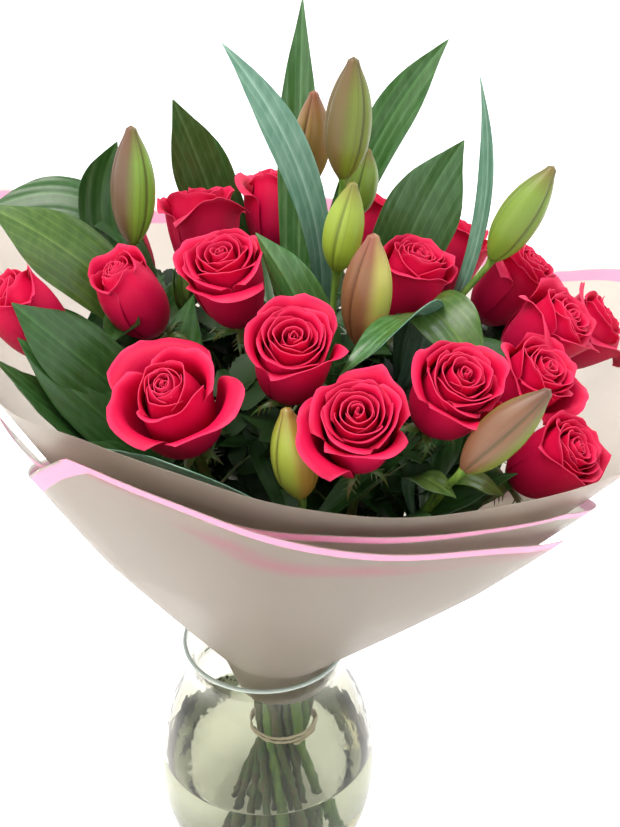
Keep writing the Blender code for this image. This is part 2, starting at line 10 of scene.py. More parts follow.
import bpy
import numpy as np
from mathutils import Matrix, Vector


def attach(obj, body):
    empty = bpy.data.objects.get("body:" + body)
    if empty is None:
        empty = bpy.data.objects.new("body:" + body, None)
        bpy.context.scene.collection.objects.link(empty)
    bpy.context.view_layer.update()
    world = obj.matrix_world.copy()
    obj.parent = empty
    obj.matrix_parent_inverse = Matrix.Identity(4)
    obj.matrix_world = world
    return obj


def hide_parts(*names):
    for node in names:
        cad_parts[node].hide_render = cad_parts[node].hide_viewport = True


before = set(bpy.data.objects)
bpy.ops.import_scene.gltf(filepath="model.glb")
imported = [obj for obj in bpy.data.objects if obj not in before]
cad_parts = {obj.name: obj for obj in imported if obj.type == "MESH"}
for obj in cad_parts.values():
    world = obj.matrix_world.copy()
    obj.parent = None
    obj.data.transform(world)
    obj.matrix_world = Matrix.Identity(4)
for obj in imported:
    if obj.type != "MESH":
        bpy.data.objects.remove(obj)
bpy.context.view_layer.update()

MM = 0.001
UP = np.array((0.0, 0.0, 1.0))
GOLDEN_ANGLE = 137.5

# The way from which the photo was taken: a leaf shows its face to it
VIEWER = np.array((0.0, -0.6, 0.8))

# Vase, as (height, radius) up its outside, and water
VASE_OUTSIDE = [
    (0, 46), (3, 50), (18, 63), (45, 75.5), (88, 81), (120, 78), (146, 69), (172, 53.5), (188, 54), (205, 60),
]
VASE_WALL = 3.0
VASE_FLOOR = 9.0
LIP_HEIGHT = 203.4
LIP_ROUND = 1.6
WATER_LEVEL = 106.0

# Bundle of stems, as the solids have it: drawn together at the tie, and crossing there in a spiral
TIE_CENTRE = (12.0, 0.0)
TIE_HEIGHT = 124.0
FOOT_CENTRE = (3.0, 0.0)
FOOT_SPREAD = 2.0
FOOT_LIFT = 0.35
FOOT_CLEARANCE = 0.35
HEADS_CENTRE = (25.0, -5.0)
HEADS_SHRINK = 0.13
SPIRAL = math.radians(60)
ROSE_STEM = 3.0
LILY_STEM = 3.8
STEM_CLEARANCE = 0.7
STEM_LEAN = 0.8
PACKING_STEPS = 900
DRAWING_STEPS = 800
DRAWING = 0.994

# Twine: two plies twisted into a cord, and the cord's turns round the bundle
TWINE = 1.3
TWINE_CLEARANCE = 0.9
TWINE_TURNS = 2.2
TWINE_PITCH = 3.6
TWINE_START = -1.2
PLY = 0.75
PLY_OFFSET = 0.55
PLY_TWISTS = 95

# Roses: centre of the head (mm), bearing and tilt of its axis, width (mm), turn (degrees), how far it has
# opened (0 a bud, 1 full blown), and how far its outermost petals fall back
ROSES = [
    ((-132, -40, 476), 195, 34, 50, 10, 0.3, 0.3),
    ((-72, -25, 482), 200, 26, 49, 75, 0.1, 0.3),
    ((-38, 72, 484), 115, 16, 54, 140, 0.5, 0.6),
    ((-14, -30, 493), 240, 20, 51, 200, 0.85, 0.4),
    ((10, 108, 486), 75, 18, 50, 265, 0.4, 0.4),
    ((22, -104, 480), 280, 26, 50, 330, 0.75, 0.35),
    ((-38, -126, 462), 250, 30, 56, 35, 0.2, 1.0),
    ((57, -146, 461), 268, 32, 50, 100, 0.8, 0.5),
    ((106, -120, 468), 300, 34, 50, 165, 0.8, 0.3),
    ((90, -18, 487), 340, 18, 48, 230, 0.5, 0.4),
    ((126, 76, 464), 25, 29, 50, 290, 0.4, 0.5),
    ((156, 12, 472), 0, 40, 48, 355, 0.5, 0.5),
    ((170, -34, 462), 345, 46, 48, 60, 0.6, 0.6),
    ((200, 4, 444), 3, 52, 46, 125, 0.4, 0.6),
    ((153, -76, 450), 325, 40, 48, 190, 0.6, 0.5),
    ((164, -115, 424), 322, 46, 48, 250, 0.6, 0.25),
    ((-95, 92, 458), 140, 34, 50, 315, 0.4, 0.4),
    ((72, 132, 460), 65, 28, 50, 20, 0.4, 0.4),
]
ROSEBUDS = {3: ((-46, 14, 458), (-46, 14, 488)), 4: ((17, -14, 476), (18, -14, 502))}
BLOOM_HEIGHT = 1.14
PETALS = 20
PETAL_GRID = 17
PETAL_THICKNESS = 0.4
PETAL_SEED = 100
STEM_SEED = 200

# A rose's green parts, in millimetres: its calyx as (distance below the petals, radius), its sepals and thorns,
# the shares of the stem between which thorns grow and at which leaves do, and how far a leaf reaches
CALYX = [(13, 2.7), (9, 3.4), (6.5, 4.9), (4.5, 5.6), (2.5, 5.6), (0.6, 4.8)]
SEPAL_LENGTH = 21
SEPAL_WIDTH = 5.6
THORNS = 7
THORN_LENGTH = 5.0
THORNY = (0.25, 0.9)
LEAFY = (0.95, 0.88, 0.8, 0.72, 0.62)
ROSE_LEAF_REACH = 60

# Lilies: top of the stem (mm), bearing and tilt of its lean, buds as (foot, tip, width, skin), and leaves as
# (share of the stem where it grows, middle, tip, width, way across, fold, outline, face, back)
LILIES = [
    dict(
        top=(50, 14, 520),
        lean=(0, 8),
        buds=[
            ((52, 0, 549), (57, 0, 619), 26, "dusky"),
            ((30, 38, 530), (35, 30, 592), 22, "russet"),
            ((62, 42, 510), (68, 40, 554), 19, "olive bud"),
        ],
        leaves=[
            (0.55, (26, 72, 540), (28, 74, 636), 28, (0.9, -0.4, 0.0), 0.35, "strap", "painted_sheen", "grey"),
            (0.70, (84, 68, 565), (116, 62, 614), 27, (0.8, -0.3, -0.4), 0.25, "strap", "painted_sheen", "deep"),
            (0.80, (20, 8, 566), (-18, 20, 622), 22, (0.8, 0.1, 0.5), 0.15, "strap", "pale", "pale"),
            (0.45, (-38, 114, 506), (-56, 96, 568), 40, (0.9, 0.2, 0.2), 0.15, "broad", "painted_sheen", "grey"),
            (0.45, (0, 22, 440), (-26, 6, 468), 42, (0.3, 0.9, 0.2), 0.1, "broad", "deep", "grey"),
            (0.48, (12, 46, 442), (2, 92, 468), 40, (0.9, 0.2, 0.2), 0.1, "broad", "deep", "grey"),
        ],
    ),
    dict(
        top=(46, -38, 472),
        lean=(300, 12),
        buds=[((48, -30, 503), (57, -30, 557), 22, "lime"), ((62, -70, 474), (67, -70, 542), 27, "blush")],
        leaves=[
            (0.7, (26, -58, 496), (2, -44, 532), 32, (0.8, -0.4, 0.4), -0.35, "broad", "painted_sheen", "olive"),
        ],
    ),
    dict(
        top=(-76, 18, 485),
        lean=(170, 18),
        buds=[((-77, 20, 500), (-73, 20, 574), 26, "maroon")],
        leaves=[
            (0.76, (-108, -4, 500), (-160, 0, 532), 44, (0.4, 0.6, 0.6), -0.2, "broad", "olive", "grey"),
            (0.82, (-124, 52, 520), (-172, 46, 512), 30, (0.1, 0.8, 0.6), -0.2, "broad", "deep", "grey"),
            (0.88, (-98, 46, 522), (-86, 46, 556), 30, (1.0, 0.2, 0.0), 0.2, "broad", "deep", "grey"),
            (0.60, (-98, -66, 463), (-135, -64, 498), 42, (0.5, 0.6, 0.5), 0.12, "broad", "deep", "grey"),
            (0.48, (-98, -84, 425), (-142, -92, 478), 50, (-0.2, 0.8, 0.1), 0.1, "broad", "deep", "grey"),
            (0.66, (-110, -42, 460), (-158, -38, 486), 38, (0.5, 0.6, 0.5), 0.1, "broad", "deep", "grey"),
            (0.54, (-90, -78, 436), (-132, -72, 480), 42, (0.3, 0.8, 0.3), 0.1, "broad", "deep", "grey"),
            (0.42, (-60, -108, 412), (-92, -132, 448), 38, (-0.4, 0.8, 0.2), 0.1, "broad", "deep", "grey"),
            (0.55, (-86, 6, 448), (-60, 30, 474), 44, (0.9, 0.1, 0.3), 0.1, "broad", "deep", "grey"),
            (0.50, (-50, -40, 436), (-40, 10, 470), 42, (0.9, -0.2, 0.3), 0.1, "broad", "deep", "grey"),
            (0.56, (-56, 44, 446), (-24, 76, 470), 42, (0.6, -0.7, 0.3), 0.1, "broad", "deep", "grey"),
        ],
    ),
    dict(
        top=(118, -20, 478),
        lean=(355, 24),
        buds=[((140, -18, 505), (171, -18, 562), 24, "olive bud")],
        leaves=[
            (0.86, (136, 0, 535), (130, 16, 604), 15, (0.5, -0.9, 0.0), 0.2, "strap", "pale", "pale"),
            (0.66, (98, 30, 508), (126, 36, 560), 50, (0.9, 0.1, -0.4), 0.12, "broad", "painted_sheen", "grey"),
            (0.75, (82, -92, 500), (48, -118, 480), 28, (0.9, 0.0, 0.4), -0.3, "strap", "painted_sheen", "pale"),
            (0.80, (106, -72, 492), (129, -98, 464), 36, (0.8, 0.4, 0.2), -0.3, "broad", "olive", "grey"),
        ],
    ),
    dict(
        top=(26, -134, 400),
        lean=(266, 26),
        buds=[((28, -142, 420), (20, -142, 475), 24, "golden")],
        leaves=[
            (0.76, (-20, -163, 440), (-78, -145, 452), 32, (-0.2, -0.5, 0.9), 0.08, "broad", "pale", "deep"),
        ],
    ),
    dict(
        top=(106, -126, 414),
        lean=(307, 30),
        buds=[((112, -157, 446), (153, -154, 492), 23, "rosy")],
        leaves=[
            (0.88, (96, -138, 428), (110, -150, 424), 16, (0.9, 0.3, 0.1), -0.2, "broad", "olive", "grey"),
            (0.92, (122, -138, 430), (138, -136, 416), 20, (-0.3, -0.9, 0.1), -0.2, "broad", "olive", "grey"),
            (0.60, (104, -112, 396), (146, -126, 424), 40, (0.5, 0.8, 0.2), 0.1, "broad", "deep", "grey"),
            (0.52, (72, -126, 388), (96, -160, 420), 38, (0.8, 0.5, 0.2), 0.1, "broad", "deep", "grey"),
            (0.64, (124, -86, 410), (138, -52, 440), 42, (0.9, -0.2, 0.3), 0.1, "broad", "deep", "grey"),
        ],
    ),
]
FILLERS = 12
FILLER_TOP = 462.0
FILLER_SEED = 300

# Outlines, as the share of the full width at a share of the length
LEAF_OUTLINE = {
    "broad": [
        (0.0, 0.14), (0.22, 0.5), (0.4, 0.93), (0.52, 1.0), (0.64, 0.93), (0.76, 0.7), (0.88, 0.35),
        (1.0, 0.01),
    ],
    "strap": [(0.0, 0.3), (0.28, 0.75), (0.48, 1.0), (0.64, 0.9), (0.78, 0.62), (0.9, 0.28), (1.0, 0.01)],
}
LEAFLET_OUTLINE = [(0.0, 0.1), (0.12, 0.5), (0.35, 0.95), (0.6, 0.9), (0.85, 0.45), (1.0, 0.01)]
SEPAL_OUTLINE = [(0.0, 0.9), (0.3, 1.0), (0.55, 0.55), (0.8, 0.3), (1.0, 0.02)]
BUD_OUTLINE = [
    (0.0, 0.26), (0.06, 0.5), (0.2, 0.84), (0.4, 1.0), (0.6, 0.93), (0.8, 0.62), (0.93, 0.3), (0.985, 0.16),
    (1.0, 0.02),
]

# Leaves and buds: thicknesses, the lines along a lily leaf, and the bearing that flushed each skin of bud
LEAF_THICKNESS = 0.55
LEAFLET_THICKNESS = 0.45
SEPAL_THICKNESS = 0.5
VEIN_SPACING = 4.6
PLEAT_SPACING = 7.0
PLEAT_DEPTH = 0.25
PLEATED_COLUMNS = 29
PLAIN_COLUMNS = 13
BUD_SUN = {"blush": 205, "maroon": 200, "dusky": 190, "rosy": 215, "golden": 335}
OTHER_BUD_SUN = 90

# Room for leaves inside the film: its radius at a height, and how much it widens for each millimetre higher
ROOM_HEIGHT = 225.0
ROOM_RADIUS = 30.0
ROOM_SLOPE = 0.58

# Film: its rim as (bearing, radius, height) round RIM_CENTRE, and the rings (x, y, radius, height) where it
# starts in the vase's neck and passes its lip, which is at a share FILM_NECK of the way up
RIM_CENTRE = (20.0, -5.0)
RIM = [
    (0, 250, 474), (20, 240, 458), (38, 215, 436), (60, 200, 455), (90, 195, 470), (115, 196, 464),
    (135, 202, 480), (155, 210, 512), (175, 208, 520), (195, 200, 490), (212, 192, 466), (238, 190, 469),
    (255, 190, 463), (270, 190, 450), (285, 190, 438), (302, 209, 441), (318, 234, 449), (340, 250, 458),
]
FILM_FOOT = (11.5, -3.5, 30.0, 174.0)
FILM_LIP = (10.8, -6.2, 39.9, 207.5)
FILM_NECK = 0.12
FILM_NECK_ROWS = [0, 0.04, 0.08]
FILM_ROWS = 36
FILM_BELLY = 2.0
FILM_THICKNESS = 0.3

# Sheets lie FILM_STEP apart at their feet, and part further up. left and right give the bearings of a sheet's
# edges at its foot and at its top, and top the height of its upper edge across it, as a share of the rim's.
FILM_STEP = 1.7
FILM_PARTING = 8.0
FILM_PARTED = 0.45
CONE_COLUMNS = 180
SHEET_COLUMNS = 90
MIDDLE_SHEET = dict(
    left=(190, 205),
    right=(430, 312),
    top=[(0.0, 0.88), (0.5, 0.92), (0.8, 0.96), (1.0, 0.93)],
)
FRONT_SHEET = dict(
    left=(105, 238),
    right=(350, 338),
    top=[(0.0, 0.99), (0.33, 0.94), (0.7, 0.86), (0.83, 0.76), (0.92, 0.63), (1.0, 0.52)],
)

# The printed band (mm): its width, the bare margin outside it, how many times as wide both are down a side,
# and the bearings between which the flowers hide it on the main sheet, so that none is printed there
PRINT_WIDTH = 8.0
PRINT_MARGIN = 0.8
SIDE_PRINT = {"left": 2.0, "right": 1.0}
UNPRINTED = (190, 335)

# Painted see-through print: the band of a sheet folded in behind the front one is not modelled, and is painted
# into the front sheet's colour as a pink haze. The table gives how far (mm) it lies below the front sheet's
# edge, at shares of the way across that sheet. FAR is a distance at which no band shows.
PAINTED_BAND_BEHIND = [(0.0, 4), (0.12, 14), (0.25, 26), (0.37, 36), (0.52, 26), (0.72, 12), (1.0, 4)]
FAR = 99.0

# Studio, in metres: the paper sweep's rings as (radius, height), and the lights as (name, place, size, watts,
# colour)
SWEEP = [(0.1, 0), (3, 0), (3.5, 0.06), (3.9, 0.3), (4.15, 0.7), (4.25, 1.2), (4.25, 4)]
SWEEP_SIDES = 64
LIGHTS = [
    ("window", (1.1, 1.0, 1.7), 1.4, 19, 0xF2F4FF),
    ("ceiling", (-0.5, -0.3, 2.2), 1.2, 40, 0xFFFBF4),
    ("room", (-1.6, -1.3, 1.0), 1.4, 7, 0xFFE2C4),
]
LIT_POINT = (0.02, 0, 0.42)

# Camera, in metres and degrees, with the photo's height and focal length in the photo's own pixels
CAMERA_PLACE = (0.0325, -0.698, 0.791)
CAMERA_TILT = 60.1
SENSOR_HEIGHT = 24
PHOTO_HEIGHT = 827
FOCAL_LENGTH = 1240

# Sockets that share their names with others: those of a Map Range node, and those of a Mix node for colours
VALUE, LOW, HIGH, TO_LOW, TO_HIGH = range(5)
SHARE, FIRST, SECOND, MIXED = 0, 6, 7, 2


# Colours and nodes

def linear(hex_value):
    """The linear colour of an sRGB hex value."""
    shares = [(hex_value >> shift & 255) / 255 for shift in (16, 8, 0)]
    return tuple(s / 12.92 if s <= 0.04045 else ((s + 0.055) / 1.055) ** 2.4 for s in shares) + (1.0,)


def connect(node, inputs):
    """Gives each socket named a value, a hex colour, or a link from a socket or a node's first output."""
    for name, value in inputs.items():
        socket = node.inputs[name]
        if isinstance(value, bpy.types.Node):
            value = value.outputs[0]
        if isinstance(value, bpy.types.NodeSocket):
            node.id_data.links.new(value, socket)
        elif socket.type == "RGBA":
            socket.default_value = linear(value)
        else:
            socket.default_value = value


def add(material, kind, inputs=None, **settings):
    """Adds a node to a material, with its settings and what goes into its sockets."""
    node = material.node_tree.nodes.new(kind)
    for name, value in settings.items():
        setattr(node, name, value)
    connect(node, inputs or {})
    return node


def blank(name):
    """A new material, whose surface is still plain."""
    material = bpy.data.materials.new(name)
    material.use_nodes = True
    return material


def surfaced(material, inputs):
    """The material, with what goes into the sockets of its surface."""
    connect(material.node_tree.nodes["Principled BSDF"], inputs)
    return material


# Finishes

def rose_petal():
    """Living rose petal: rounded skin cells scatter light, so it is velvety, with deep folds; its colour holds
    painted shade low down and a painted pink highlight on its rims.
    """
    material = blank("rose_petal")
    place = add(material, "ShaderNodeAttribute", attribute_name="place")
    height, _, rim = add(material, "ShaderNodeSeparateXYZ", {0: place.outputs["Vector"]}).outputs
    # Painted shade: the petal's colour runs from dark crimson low down to bright crimson high up, where more
    # light falls.
    rise = add(material, "ShaderNodeMapRange", {VALUE: height, LOW: 0.1, HIGH: 0.9})
    colours = {SHARE: rise, FIRST: 0x920034, SECOND: 0xCE0640}
    body = add(material, "ShaderNodeMix", colours, data_type="RGBA")
    blotch = add(material, "ShaderNodeTexNoise", {"Scale": 1 / (9 * MM), "Detail": 3.0})
    shade = add(material, "ShaderNodeMapRange", {VALUE: blotch, LOW: 0.35, HIGH: 0.75, TO_HIGH: 0.3})
    colours = {SHARE: shade, FIRST: body.outputs[MIXED], SECOND: 0xE0164E}
    tinted = add(material, "ShaderNodeMix", colours, data_type="RGBA")
    # Painted highlight: the outermost twentieth of the way to the rim turns light pink, where light catches the
    # rolled edge.
    edge = add(material, "ShaderNodeMapRange", {VALUE: rim, LOW: 0.95, HIGH: 1.0, TO_HIGH: 0.3})
    colours = {SHARE: edge, FIRST: tinted.outputs[MIXED], SECOND: 0xFF5A86}
    rim_painted_highlight = add(material, "ShaderNodeMix", colours, data_type="RGBA")
    near_foot = {VALUE: height, LOW: 0.02, HIGH: 0.16, TO_LOW: 0.6, TO_HIGH: 0}
    claw = add(material, "ShaderNodeMapRange", near_foot)
    colours = {SHARE: claw, FIRST: rim_painted_highlight.outputs[MIXED], SECOND: 0xD9899A}
    clawed = add(material, "ShaderNodeMix", colours, data_type="RGBA")
    veins = add(material, "ShaderNodeTexNoise", {"Scale": 1 / (2.5 * MM), "Detail": 2.0})
    return surfaced(material, {
        "Base Color": clawed.outputs[MIXED],
        "Roughness": 0.55,
        "Specular IOR Level": 0.2,
        "Subsurface Weight": 0.1,
        "Subsurface Radius": (1.0, 0.15, 0.2),
        "Subsurface Scale": 3 * MM,
        "Normal": add(material, "ShaderNodeBump", {"Strength": 0.12, "Distance": 0.3 * MM, "Height": veins}),
    })


def lily_leaf_skin(name, base, streak, roughness):
    """Lily leaf: a waxy skin over long parallel veins, each a little paler than the green between."""
    material = blank(name)
    place = add(material, "ShaderNodeAttribute", attribute_name="place")
    across = add(material, "ShaderNodeSeparateXYZ", {0: place.outputs["Vector"]}).outputs[1]
    phase = add(material, "ShaderNodeMath", {0: across, 1: 2 * math.pi / VEIN_SPACING}, operation="MULTIPLY")
    wave = add(material, "ShaderNodeMath", {0: phase}, operation="SINE")
    vein = add(material, "ShaderNodeMapRange", {VALUE: wave, LOW: 0.55, HIGH: 1.0, TO_HIGH: 0.22})
    from_middle = add(material, "ShaderNodeMath", {0: across}, operation="ABSOLUTE")
    ends = {VALUE: from_middle, LOW: 0.2, HIGH: 0.9, TO_LOW: 0.6, TO_HIGH: 0}
    midrib = add(material, "ShaderNodeMapRange", ends)
    lines = add(material, "ShaderNodeMath", {0: vein, 1: midrib}, operation="MAXIMUM")
    cloud = add(material, "ShaderNodeTexNoise", {"Scale": 1 / (22 * MM), "Detail": 4.0})
    patch = add(material, "ShaderNodeMapRange", {VALUE: cloud, LOW: 0.4, HIGH: 0.7, TO_HIGH: 0.25})
    marks = add(material, "ShaderNodeMath", {0: lines, 1: patch}, operation="ADD", use_clamp=True)
    skin = add(material, "ShaderNodeMix", {SHARE: marks, FIRST: base, SECOND: streak}, data_type="RGBA")
    return surfaced(material, {
        "Base Color": skin.outputs[MIXED],
        "Roughness": roughness,
        "Specular IOR Level": 0.5,
        "Normal": add(material, "ShaderNodeBump", {"Strength": 0.25, "Distance": 0.25 * MM, "Height": lines}),
    })


def rose_leaf_skin(name, base, vein_colour):
    """Rose leaf: thin, dark and slightly quilted between netted veins."""
    material = blank(name)
    net = add(material, "ShaderNodeTexVoronoi", {"Scale": 1 / (3.5 * MM)}, feature="DISTANCE_TO_EDGE")
    vein = add(material, "ShaderNodeMapRange", {VALUE: net, LOW: 0, HIGH: 0.12, TO_LOW: 0.6, TO_HIGH: 0})
    skin = add(material, "ShaderNodeMix", {SHARE: vein, FIRST: base, SECOND: vein_colour}, data_type="RGBA")
    return surfaced(material, {
        "Base Color": skin.outputs[MIXED],
        "Roughness": 0.5,
        "Specular IOR Level": 0.3,
        "Normal": add(material, "ShaderNodeBump", {"Strength": 0.3, "Distance": 0.3 * MM, "Height": net}),
    })


def stem_skin(name, base, flush, roughness=0.4):
    """Fresh stem: smooth green skin with long fibres and a flush of colour where the sun reached it."""
    material = blank(name)
    spot = add(material, "ShaderNodeTexCoord")
    stretch = add(material, "ShaderNodeMapping", {0: spot.outputs["Object"], "Scale": (1.0, 1.0, 0.12)})
    fibre = add(material, "ShaderNodeTexNoise", {0: stretch, "Scale": 1 / (3 * MM), "Detail": 3.0})
    share = add(material, "ShaderNodeMapRange", {VALUE: fibre, LOW: 0.4, HIGH: 0.75})
    skin = add(material, "ShaderNodeMix", {SHARE: share, FIRST: base, SECOND: flush}, data_type="RGBA")
    return surfaced(material, {
        "Base Color": skin.outputs[MIXED],
        "Roughness": roughness,
        "Normal": add(material, "ShaderNodeBump", {"Strength": 0.2, "Distance": 0.2 * MM, "Height": fibre}),
    })


def lily_bud_skin(name, face, seam, tip, blush):
    """Closed lily bud: waxy outer tepals, dark along the seams and flushed on the side that faced the sun."""
    material = blank(name)
    place = add(material, "ShaderNodeAttribute", attribute_name="place")
    height, groove, sunny = add(material, "ShaderNodeSeparateXYZ", {0: place.outputs["Vector"]}).outputs
    streaks = add(material, "ShaderNodeTexNoise", {"Scale": 1 / (4 * MM), "Detail": 4.0})
    wander = add(material, "ShaderNodeMath", {0: streaks, 1: 0.35, 2: -0.17}, operation="MULTIPLY_ADD")
    sun = add(material, "ShaderNodeMath", {0: sunny, 1: wander}, operation="ADD")
    flush = add(material, "ShaderNodeMapRange", {VALUE: sun, LOW: 0.6, HIGH: 0.82, TO_HIGH: 0.85})
    flushed = add(material, "ShaderNodeMix", {SHARE: flush, FIRST: face, SECOND: blush}, data_type="RGBA")
    high = add(material, "ShaderNodeMapRange", {VALUE: height, LOW: 0.72, HIGH: 0.98, TO_HIGH: 0.8})
    colours = {SHARE: high, FIRST: flushed.outputs[MIXED], SECOND: tip}
    tipped = add(material, "ShaderNodeMix", colours, data_type="RGBA")
    edge = add(material, "ShaderNodeMapRange", {VALUE: groove, LOW: 0.35, HIGH: 0.95, TO_HIGH: 0.9})
    colours = {SHARE: edge, FIRST: tipped.outputs[MIXED], SECOND: seam}
    seamed = add(material, "ShaderNodeMix", colours, data_type="RGBA")
    return surfaced(material, {
        "Base Color": seamed.outputs[MIXED],
        "Roughness": 0.38,
        "Specular IOR Level": 0.5,
        "Normal": add(material, "ShaderNodeBump", {"Strength": 0.2, "Distance": 0.3 * MM, "Height": streaks}),
    })


def frosted_film():
    """Frosted polypropylene wrap: cast matt, so light spreads in it and what lies behind shows as a haze.

    The band of the sheet folded in behind the front one, which is not modelled, is painted into this colour as
    such a haze, in pink: a painted image of its print seen through the film.
    """
    material = blank("frosted_film")
    place = add(material, "ShaderNodeAttribute", attribute_name="place")
    from_band = add(material, "ShaderNodeSeparateXYZ", {0: place.outputs["Vector"]}).outputs[2]
    # Painted see-through: pink haze where the print of the sheet behind would show, fading out 13 mm from it.
    near = add(material, "ShaderNodeMapRange", {VALUE: from_band, LOW: 1, HIGH: 13, TO_LOW: 0.9, TO_HIGH: 0})
    film_and_painted_band = add(material, "ShaderNodeMix", {SHARE: near, FIRST: 0xC6BCAE, SECOND: 0xD99AA4}, data_type="RGBA")
    haze = add(material, "ShaderNodeTexNoise", {"Scale": 1 / (60 * MM), "Detail": 3.0})
    return surfaced(material, {
        "Base Color": film_and_painted_band.outputs[MIXED],
        "Roughness": 0.35,
        "IOR": 1.15,
        "Alpha": 0.86,
        "Transmission Weight": 0.76,
        "Normal": add(material, "ShaderNodeBump", {"Strength": 0.15, "Distance": 3 * MM, "Height": haze}),
    })


def pink_print():
    """Pink ink printed along the film's edges: flat and even, with the film's matt skin."""
    material = blank("pink_print")
    grain = add(material, "ShaderNodeTexNoise", {"Scale": 1 / (2 * MM), "Detail": 2.0})
    return surfaced(material, {
        "Base Color": 0xEFA3C6,
        "Roughness": 0.5,
        "Alpha": 0.8,
        "Transmission Weight": 0.25,
        "Normal": add(material, "ShaderNodeBump", {"Strength": 0.05, "Distance": 0.1 * MM, "Height": grain}),
    })


def blown_glass():
    """Soda-lime glass, blown in a mould: clear, with a slow ripple that bends what is seen through it.

    Its IOR is 1.5, and is lowered here because the white studio would veil the stems with its reflections.
    """
    material = blank("clear_glass")
    ripple = add(material, "ShaderNodeTexNoise", {"Scale": 1 / (45 * MM), "Detail": 1.0})
    return surfaced(material, {
        "Base Color": 0xDFDED2,
        "Roughness": 0.0,
        "IOR": 1.3,
        "Transmission Weight": 1.0,
        "Normal": add(material, "ShaderNodeBump", {"Strength": 0.12, "Distance": 2 * MM, "Height": ripple}),
    })


def polished_lip():
    """The vase's lip, melted round in a flame: it is seen along the wall there, so it is green and dense."""
    material = blank("polished_lip")
    wave = add(material, "ShaderNodeTexNoise", {"Scale": 1 / (15 * MM), "Detail": 1.0})
    return surfaced(material, {
        "Base Color": 0xC9D8CC,
        "Roughness": 0.05,
        "IOR": 1.5,
        "Transmission Weight": 0.45,
        "Normal": add(material, "ShaderNodeBump", {"Strength": 0.1, "Distance": 0.5 * MM, "Height": wave}),
    })


def still_water():
    """Still water: clear, with a green cast from the stems; its IOR, 1.333, is lowered as the glass's is."""
    material = blank("water")
    swell = add(material, "ShaderNodeTexNoise", {"Scale": 1 / (30 * MM), "Detail": 0.0})
    return surfaced(material, {
        "Base Color": 0xE8EEE0,
        "Roughness": 0.0,
        "IOR": 1.25,
        "Transmission Weight": 1.0,
        "Normal": add(material, "ShaderNodeBump", {"Strength": 0.05, "Distance": 1 * MM, "Height": swell}),
    })


def cotton_twine():
    """Cotton twine: spun of two plies, matt and fuzzy, cream, its hollows darkened with painted shade."""
    material = blank("twine")
    fuzz = add(material, "ShaderNodeTexNoise", {"Scale": 1 / (0.8 * MM), "Detail": 4.0})
    # Painted shade: the cream darkens where the fuzz bump is low, in its hollows, and varies with the fuzz
    # elsewhere.
    share = add(material, "ShaderNodeMapRange", {VALUE: fuzz, LOW: 0.3, HIGH: 0.7})
    thread_colours = {SHARE: share, FIRST: 0xB9A78A, SECOND: 0xEFE6D2}
    thread = add(material, "ShaderNodeMix", thread_colours, data_type="RGBA")
    return surfaced(material, {
        "Base Color": thread.outputs[MIXED],
        "Roughness": 0.9,
        "Sheen Weight": 0.3,
        "Normal": add(material, "ShaderNodeBump", {"Strength": 0.5, "Distance": 0.3 * MM, "Height": fuzz}),
    })


def studio_paper():
    """White studio paper, lit from beneath as on a light table: matt, with the faintest tooth."""
    material = blank("studio_paper")
    tooth = add(material, "ShaderNodeTexNoise", {"Scale": 1 / (4 * MM), "Detail": 2.0})
    return surfaced(material, {
        "Base Color": 0xF7F7F8,
        "Roughness": 0.9,
        "Emission Color": 0xFFFFFF,
        "Emission Strength": 0.45,
        "Normal": add(material, "ShaderNodeBump", {"Strength": 0.02, "Distance": 0.1 * MM, "Height": tooth}),
    })


# Curves and directions

def smooth(table, at):
    """Values between the rows of a table of (place, value), by cubic steps; at is a number or an array."""
    places = np.array([row[0] for row in table], float)
    values = np.array([row[1] for row in table], float)
    slopes = np.gradient(values, places)
    at = np.clip(np.asarray(at, float), places[0], places[-1])
    i = np.clip(np.searchsorted(places, at) - 1, 0, len(places) - 2)
    span = places[i + 1] - places[i]
    t = (at - places[i]) / span
    return (
        values[i] * (2 * t**3 - 3 * t**2 + 1)
        + values[i + 1] * (3 * t**2 - 2 * t**3)
        + span * (slopes[i] * (t**3 - 2 * t**2 + t) + slopes[i + 1] * (t**3 - t**2))
    )


def direction(bearing, tilt):
    """The unit vector that leans tilt degrees from upright, towards a bearing in degrees from +X."""
    b, t = math.radians(bearing), math.radians(tilt)
    return np.array((math.sin(t) * math.cos(b), math.sin(t) * math.sin(b), math.cos(t)))


def unit(vectors):
    """The vectors, brought to length 1."""
    return vectors / np.maximum(np.linalg.norm(vectors, axis=-1, keepdims=True), 1e-9)


def upright_to(axis):
    """The matrix that turns +Z to an axis."""
    return np.array(Vector(axis).to_track_quat("Z", "Y").to_matrix())


def path_point(path, share):
    """The point at a share of the way along a path."""
    gone = np.concatenate([[0], np.cumsum(np.linalg.norm(np.diff(path, axis=0), axis=1))])
    return np.array([np.interp(share * gone[-1], gone, path[:, k]) for k in range(3)])


def frames(path):
    """Two unit vectors across a path at each of its points, carried along it without twist."""
    along = unit(np.gradient(path, axis=0))
    side = unit(np.cross(along[0], (0.3, 0.9, 0.2)))
    sides = []
    for way in along:
        side = unit(side - way * np.dot(side, way))
        sides.append(side)
    sides = np.array(sides)
    return sides, np.cross(along, sides)


def five_ways(axis, hint, turn):
    """Five even ways out from an axis, starting at a turn in degrees."""
    side = unit(np.cross(axis, hint))
    other = np.cross(axis, side)
    angles = [math.radians(72 * i + turn) for i in range(5)]
    return [side * math.cos(a) + other * math.sin(a) for a in angles]


# Meshes, as parts of (points in millimetres, faces, finish of each face, place of each point)

